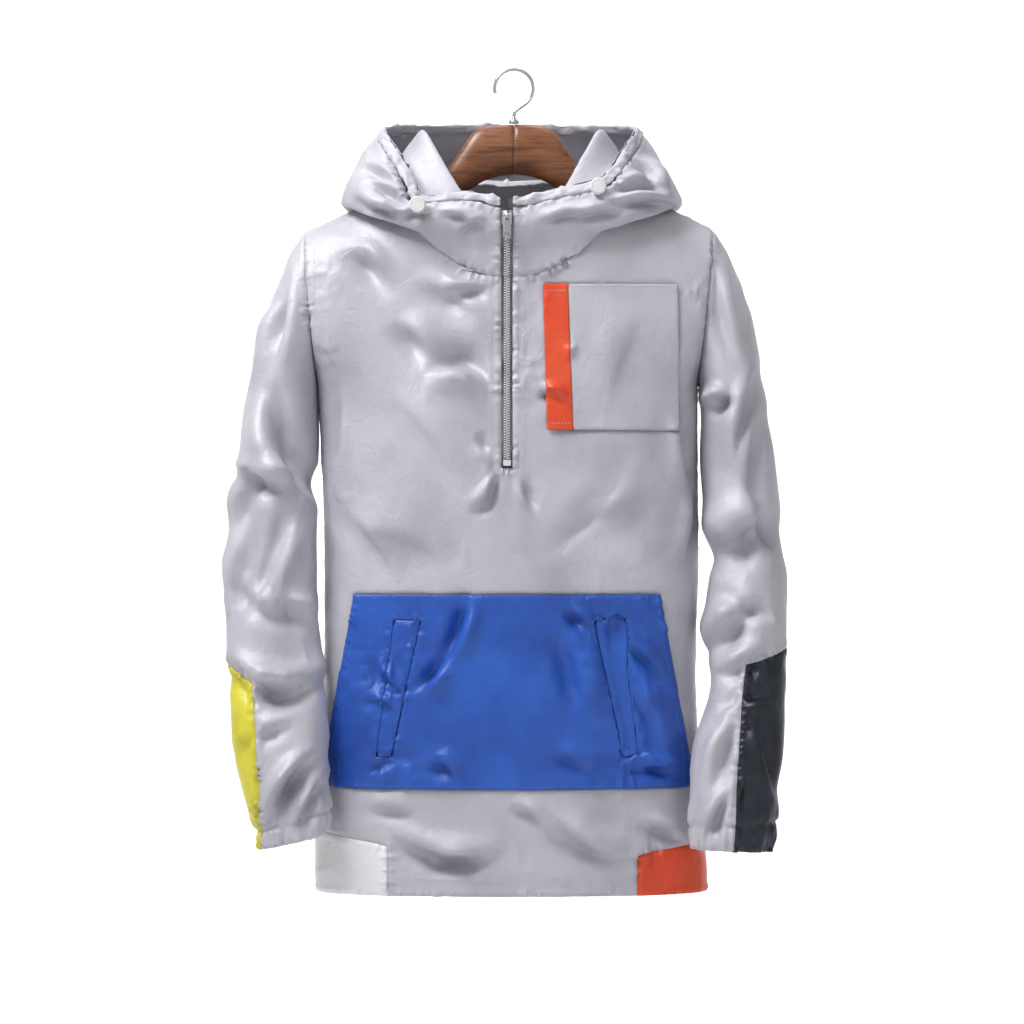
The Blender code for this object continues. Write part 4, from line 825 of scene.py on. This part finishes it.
copyNode("hanger_hook", 1, steel, 50)
copyNode("zip_slider", 0, zinc)
copyNode("zip_pull", 0, zinc)
copyNode("zip_stop", 0, coil)
label = copyNode("neck_label", 0, makeTape("cotton_label", "#F3F3F3"))


def joinCopies(name, model, places, material):
    # one mesh of many small copies; each place is a point, the way along and the way out
    shape = np.empty(len(model.data.vertices) * 3)
    model.data.vertices.foreach_get("co", shape)
    shape = shape.reshape(-1, 3)
    faces = [tuple(face.vertices) for face in model.data.polygons]
    vertices, allFaces = [], []
    for k, (point, along, out) in enumerate(places):
        along = along / np.linalg.norm(along)
        out = out - along * (out @ along)
        out = out / np.linalg.norm(out)
        across = np.cross(along, out)
        vertices.append(point + shape @ np.array((along, across, out)))
        allFaces += [tuple(v + k * len(shape) for v in face) for face in faces]
    mesh = bpy.data.meshes.new(name)
    mesh.from_pydata(np.concatenate(vertices).tolist(), [], allFaces)
    item = bpy.data.objects.new(name, mesh)
    scene.collection.objects.link(item)
    bpy.data.objects.remove(model)
    item.data.materials.append(material)
    onlySelect(item)
    bpy.ops.object.shade_smooth()
    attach(item, "garment")
    return item


def surfaceOf(item):
    points, normals = readMesh(item)
    return BVHTree.FromPolygons(points.tolist(), [tuple(face.vertices) for face in item.data.polygons])


zipLook = {
    # in mm; slant is how far a tooth leans down for each mm across
    "pitch": 2.5, "tooth": (1.7, 0.55, 0.8), "bevel": 0.35, "from": 167.0, "to": 409.0,
    "aside": 1.2, "spread": 0.2, "proud": 0.1, "slant": 0.28,
}


def makeTeeth():
    surface = surfaceOf(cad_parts["zip_teeth"])
    bpy.ops.mesh.primitive_cube_add(size=2)
    tooth = bpy.context.object
    onlySelect(tooth)
    tooth.scale = [size * mm for size in zipLook["tooth"]]
    bpy.ops.object.transform_apply(location=False, rotation=False, scale=True)
    bpy.ops.object.mode_set(mode="EDIT")
    bpy.ops.mesh.select_all(action="SELECT")
    bpy.ops.mesh.bevel(offset=zipLook["bevel"] * mm, segments=2, affect="EDGES")
    bpy.ops.object.mode_set(mode="OBJECT")
    places = []
    steps = int((zipLook["to"] - zipLook["from"]) / zipLook["pitch"] * 2)
    for k in range(steps):
        side = 1 if k % 2 else -1
        down = zipLook["from"] + k * zipLook["pitch"] / 2
        hit = surface.ray_cast((zipX + side * zipLook["aside"] * mm, -0.2, -down * mm), (0, 1, 0))
        if hit[0] is None:
            continue
        slant = np.array((1.0, 0.0, zipLook["slant"] * side))
        shift = (side * zipLook["spread"] * mm, -zipLook["proud"] * mm, 0)
        places.append((np.array(hit[0]) + shift, slant, np.array(hit[1])))
    teeth = joinCopies("zip_coil_teeth", tooth, places, coil)
    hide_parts("zip_teeth")


# rows of stitching: the piece, the side (-1 front, 1 back), and points as across and down in mm
stitchRows = (
    ("front", -1, ((-23, 218), (-23, 300), (-24, 412))),
    ("front", -1, ((10, 218), (10, 300), (10, 412))),
    ("front", -1, ((-24, 414), (10, 414))),
    ("front", -1, ((-116, 820), (0, 824), (122, 820))),
    ("back", 1, ((-186, 820), (0, 824), (192, 820))),
    ("kangaroo_pocket", -1, ((-158, 538), (0, 538), (143, 538))),
    ("kangaroo_pocket", -1, ((-157, 540), (-169, 620), (-176, 700), (-178, 725))),
    ("kangaroo_pocket", -1, ((143, 540), (156, 610), (171, 690), (172, 725))),
    ("kangaroo_pocket", -1, ((-176, 726), (0, 727), (170, 726))),
    ("chest_pocket", -1, ((59, 225.5), (161, 225.5))),
    ("chest_pocket", -1, ((161, 227), (166, 367))),
    ("chest_pocket", -1, ((65, 367.5), (165, 367.5))),
    ("chest_pocket_band", -1, ((32, 230), (56, 230))),
    ("chest_pocket_band", -1, ((37, 363), (60, 363))),
    ("front", -1, ((-202, 182), (-201, 240), (-193, 310))),
    ("front", -1, ((198, 182), (190, 240), (184, 310))),
)
stitchSize = {"length": 2.4, "gap": 0.9, "radius": 0.32}


def makeStitches(name, rows, material):
    bpy.ops.mesh.primitive_uv_sphere_add(segments=6, ring_count=4, radius=1)
    stitch = bpy.context.object
    onlySelect(stitch)
    stitch.rotation_euler = (0, math.pi / 2, 0)
    bpy.ops.object.transform_apply(location=False, rotation=True, scale=False)
    radius = stitchSize["radius"] * mm
    stitch.scale = (stitchSize["length"] * mm / 2, radius, radius)
    bpy.ops.object.transform_apply(location=False, rotation=False, scale=True)
    surfaces = {}
    places = []
    pitch = (stitchSize["length"] + stitchSize["gap"]) * mm
    for node, side, row in rows:
        if node not in surfaces:
            surfaces[node] = surfaceOf(sheets[node])
        route = np.array([(x * mm, -down * mm) for x, down in row])
        lengths = np.concatenate([[0], np.cumsum(np.linalg.norm(np.diff(route, axis=0), axis=1))])
        count = int(lengths[-1] / pitch)
        marks = (np.arange(count) + 0.5) * pitch
        spots = []
        for shift in (-0.4, 0.4):
            xs = np.interp(marks + shift * pitch, lengths, route[:, 0])
            zs = np.interp(marks + shift * pitch, lengths, route[:, 1])
            spots.append([surfaces[node].ray_cast((x, side * 0.25, z), (0, -side, 0))
                          for x, z in zip(xs, zs)])
        for first, last in zip(*spots):
            if first[0] is None or last[0] is None or (last[0] - first[0]).length > 2 * pitch:
                continue
            middle = np.array((first[0] + last[0]) / 2)
            out = np.array(first[1]) * (1 if first[1].y * side > 0 else -1)
            places.append((middle + out * 0.1 * mm, np.array(last[0] - first[0]), out))
    joinCopies(name, stitch, places, material)


print("zip teeth and stitching")
makeTeeth()
blueRows = [row for row in stitchRows if row[0] == "kangaroo_pocket"]
greyRows = [row for row in stitchRows if row[0] != "kangaroo_pocket"]
makeStitches("blue_stitching", blueRows, blueThread)
makeStitches("grey_stitching", greyRows, thread)
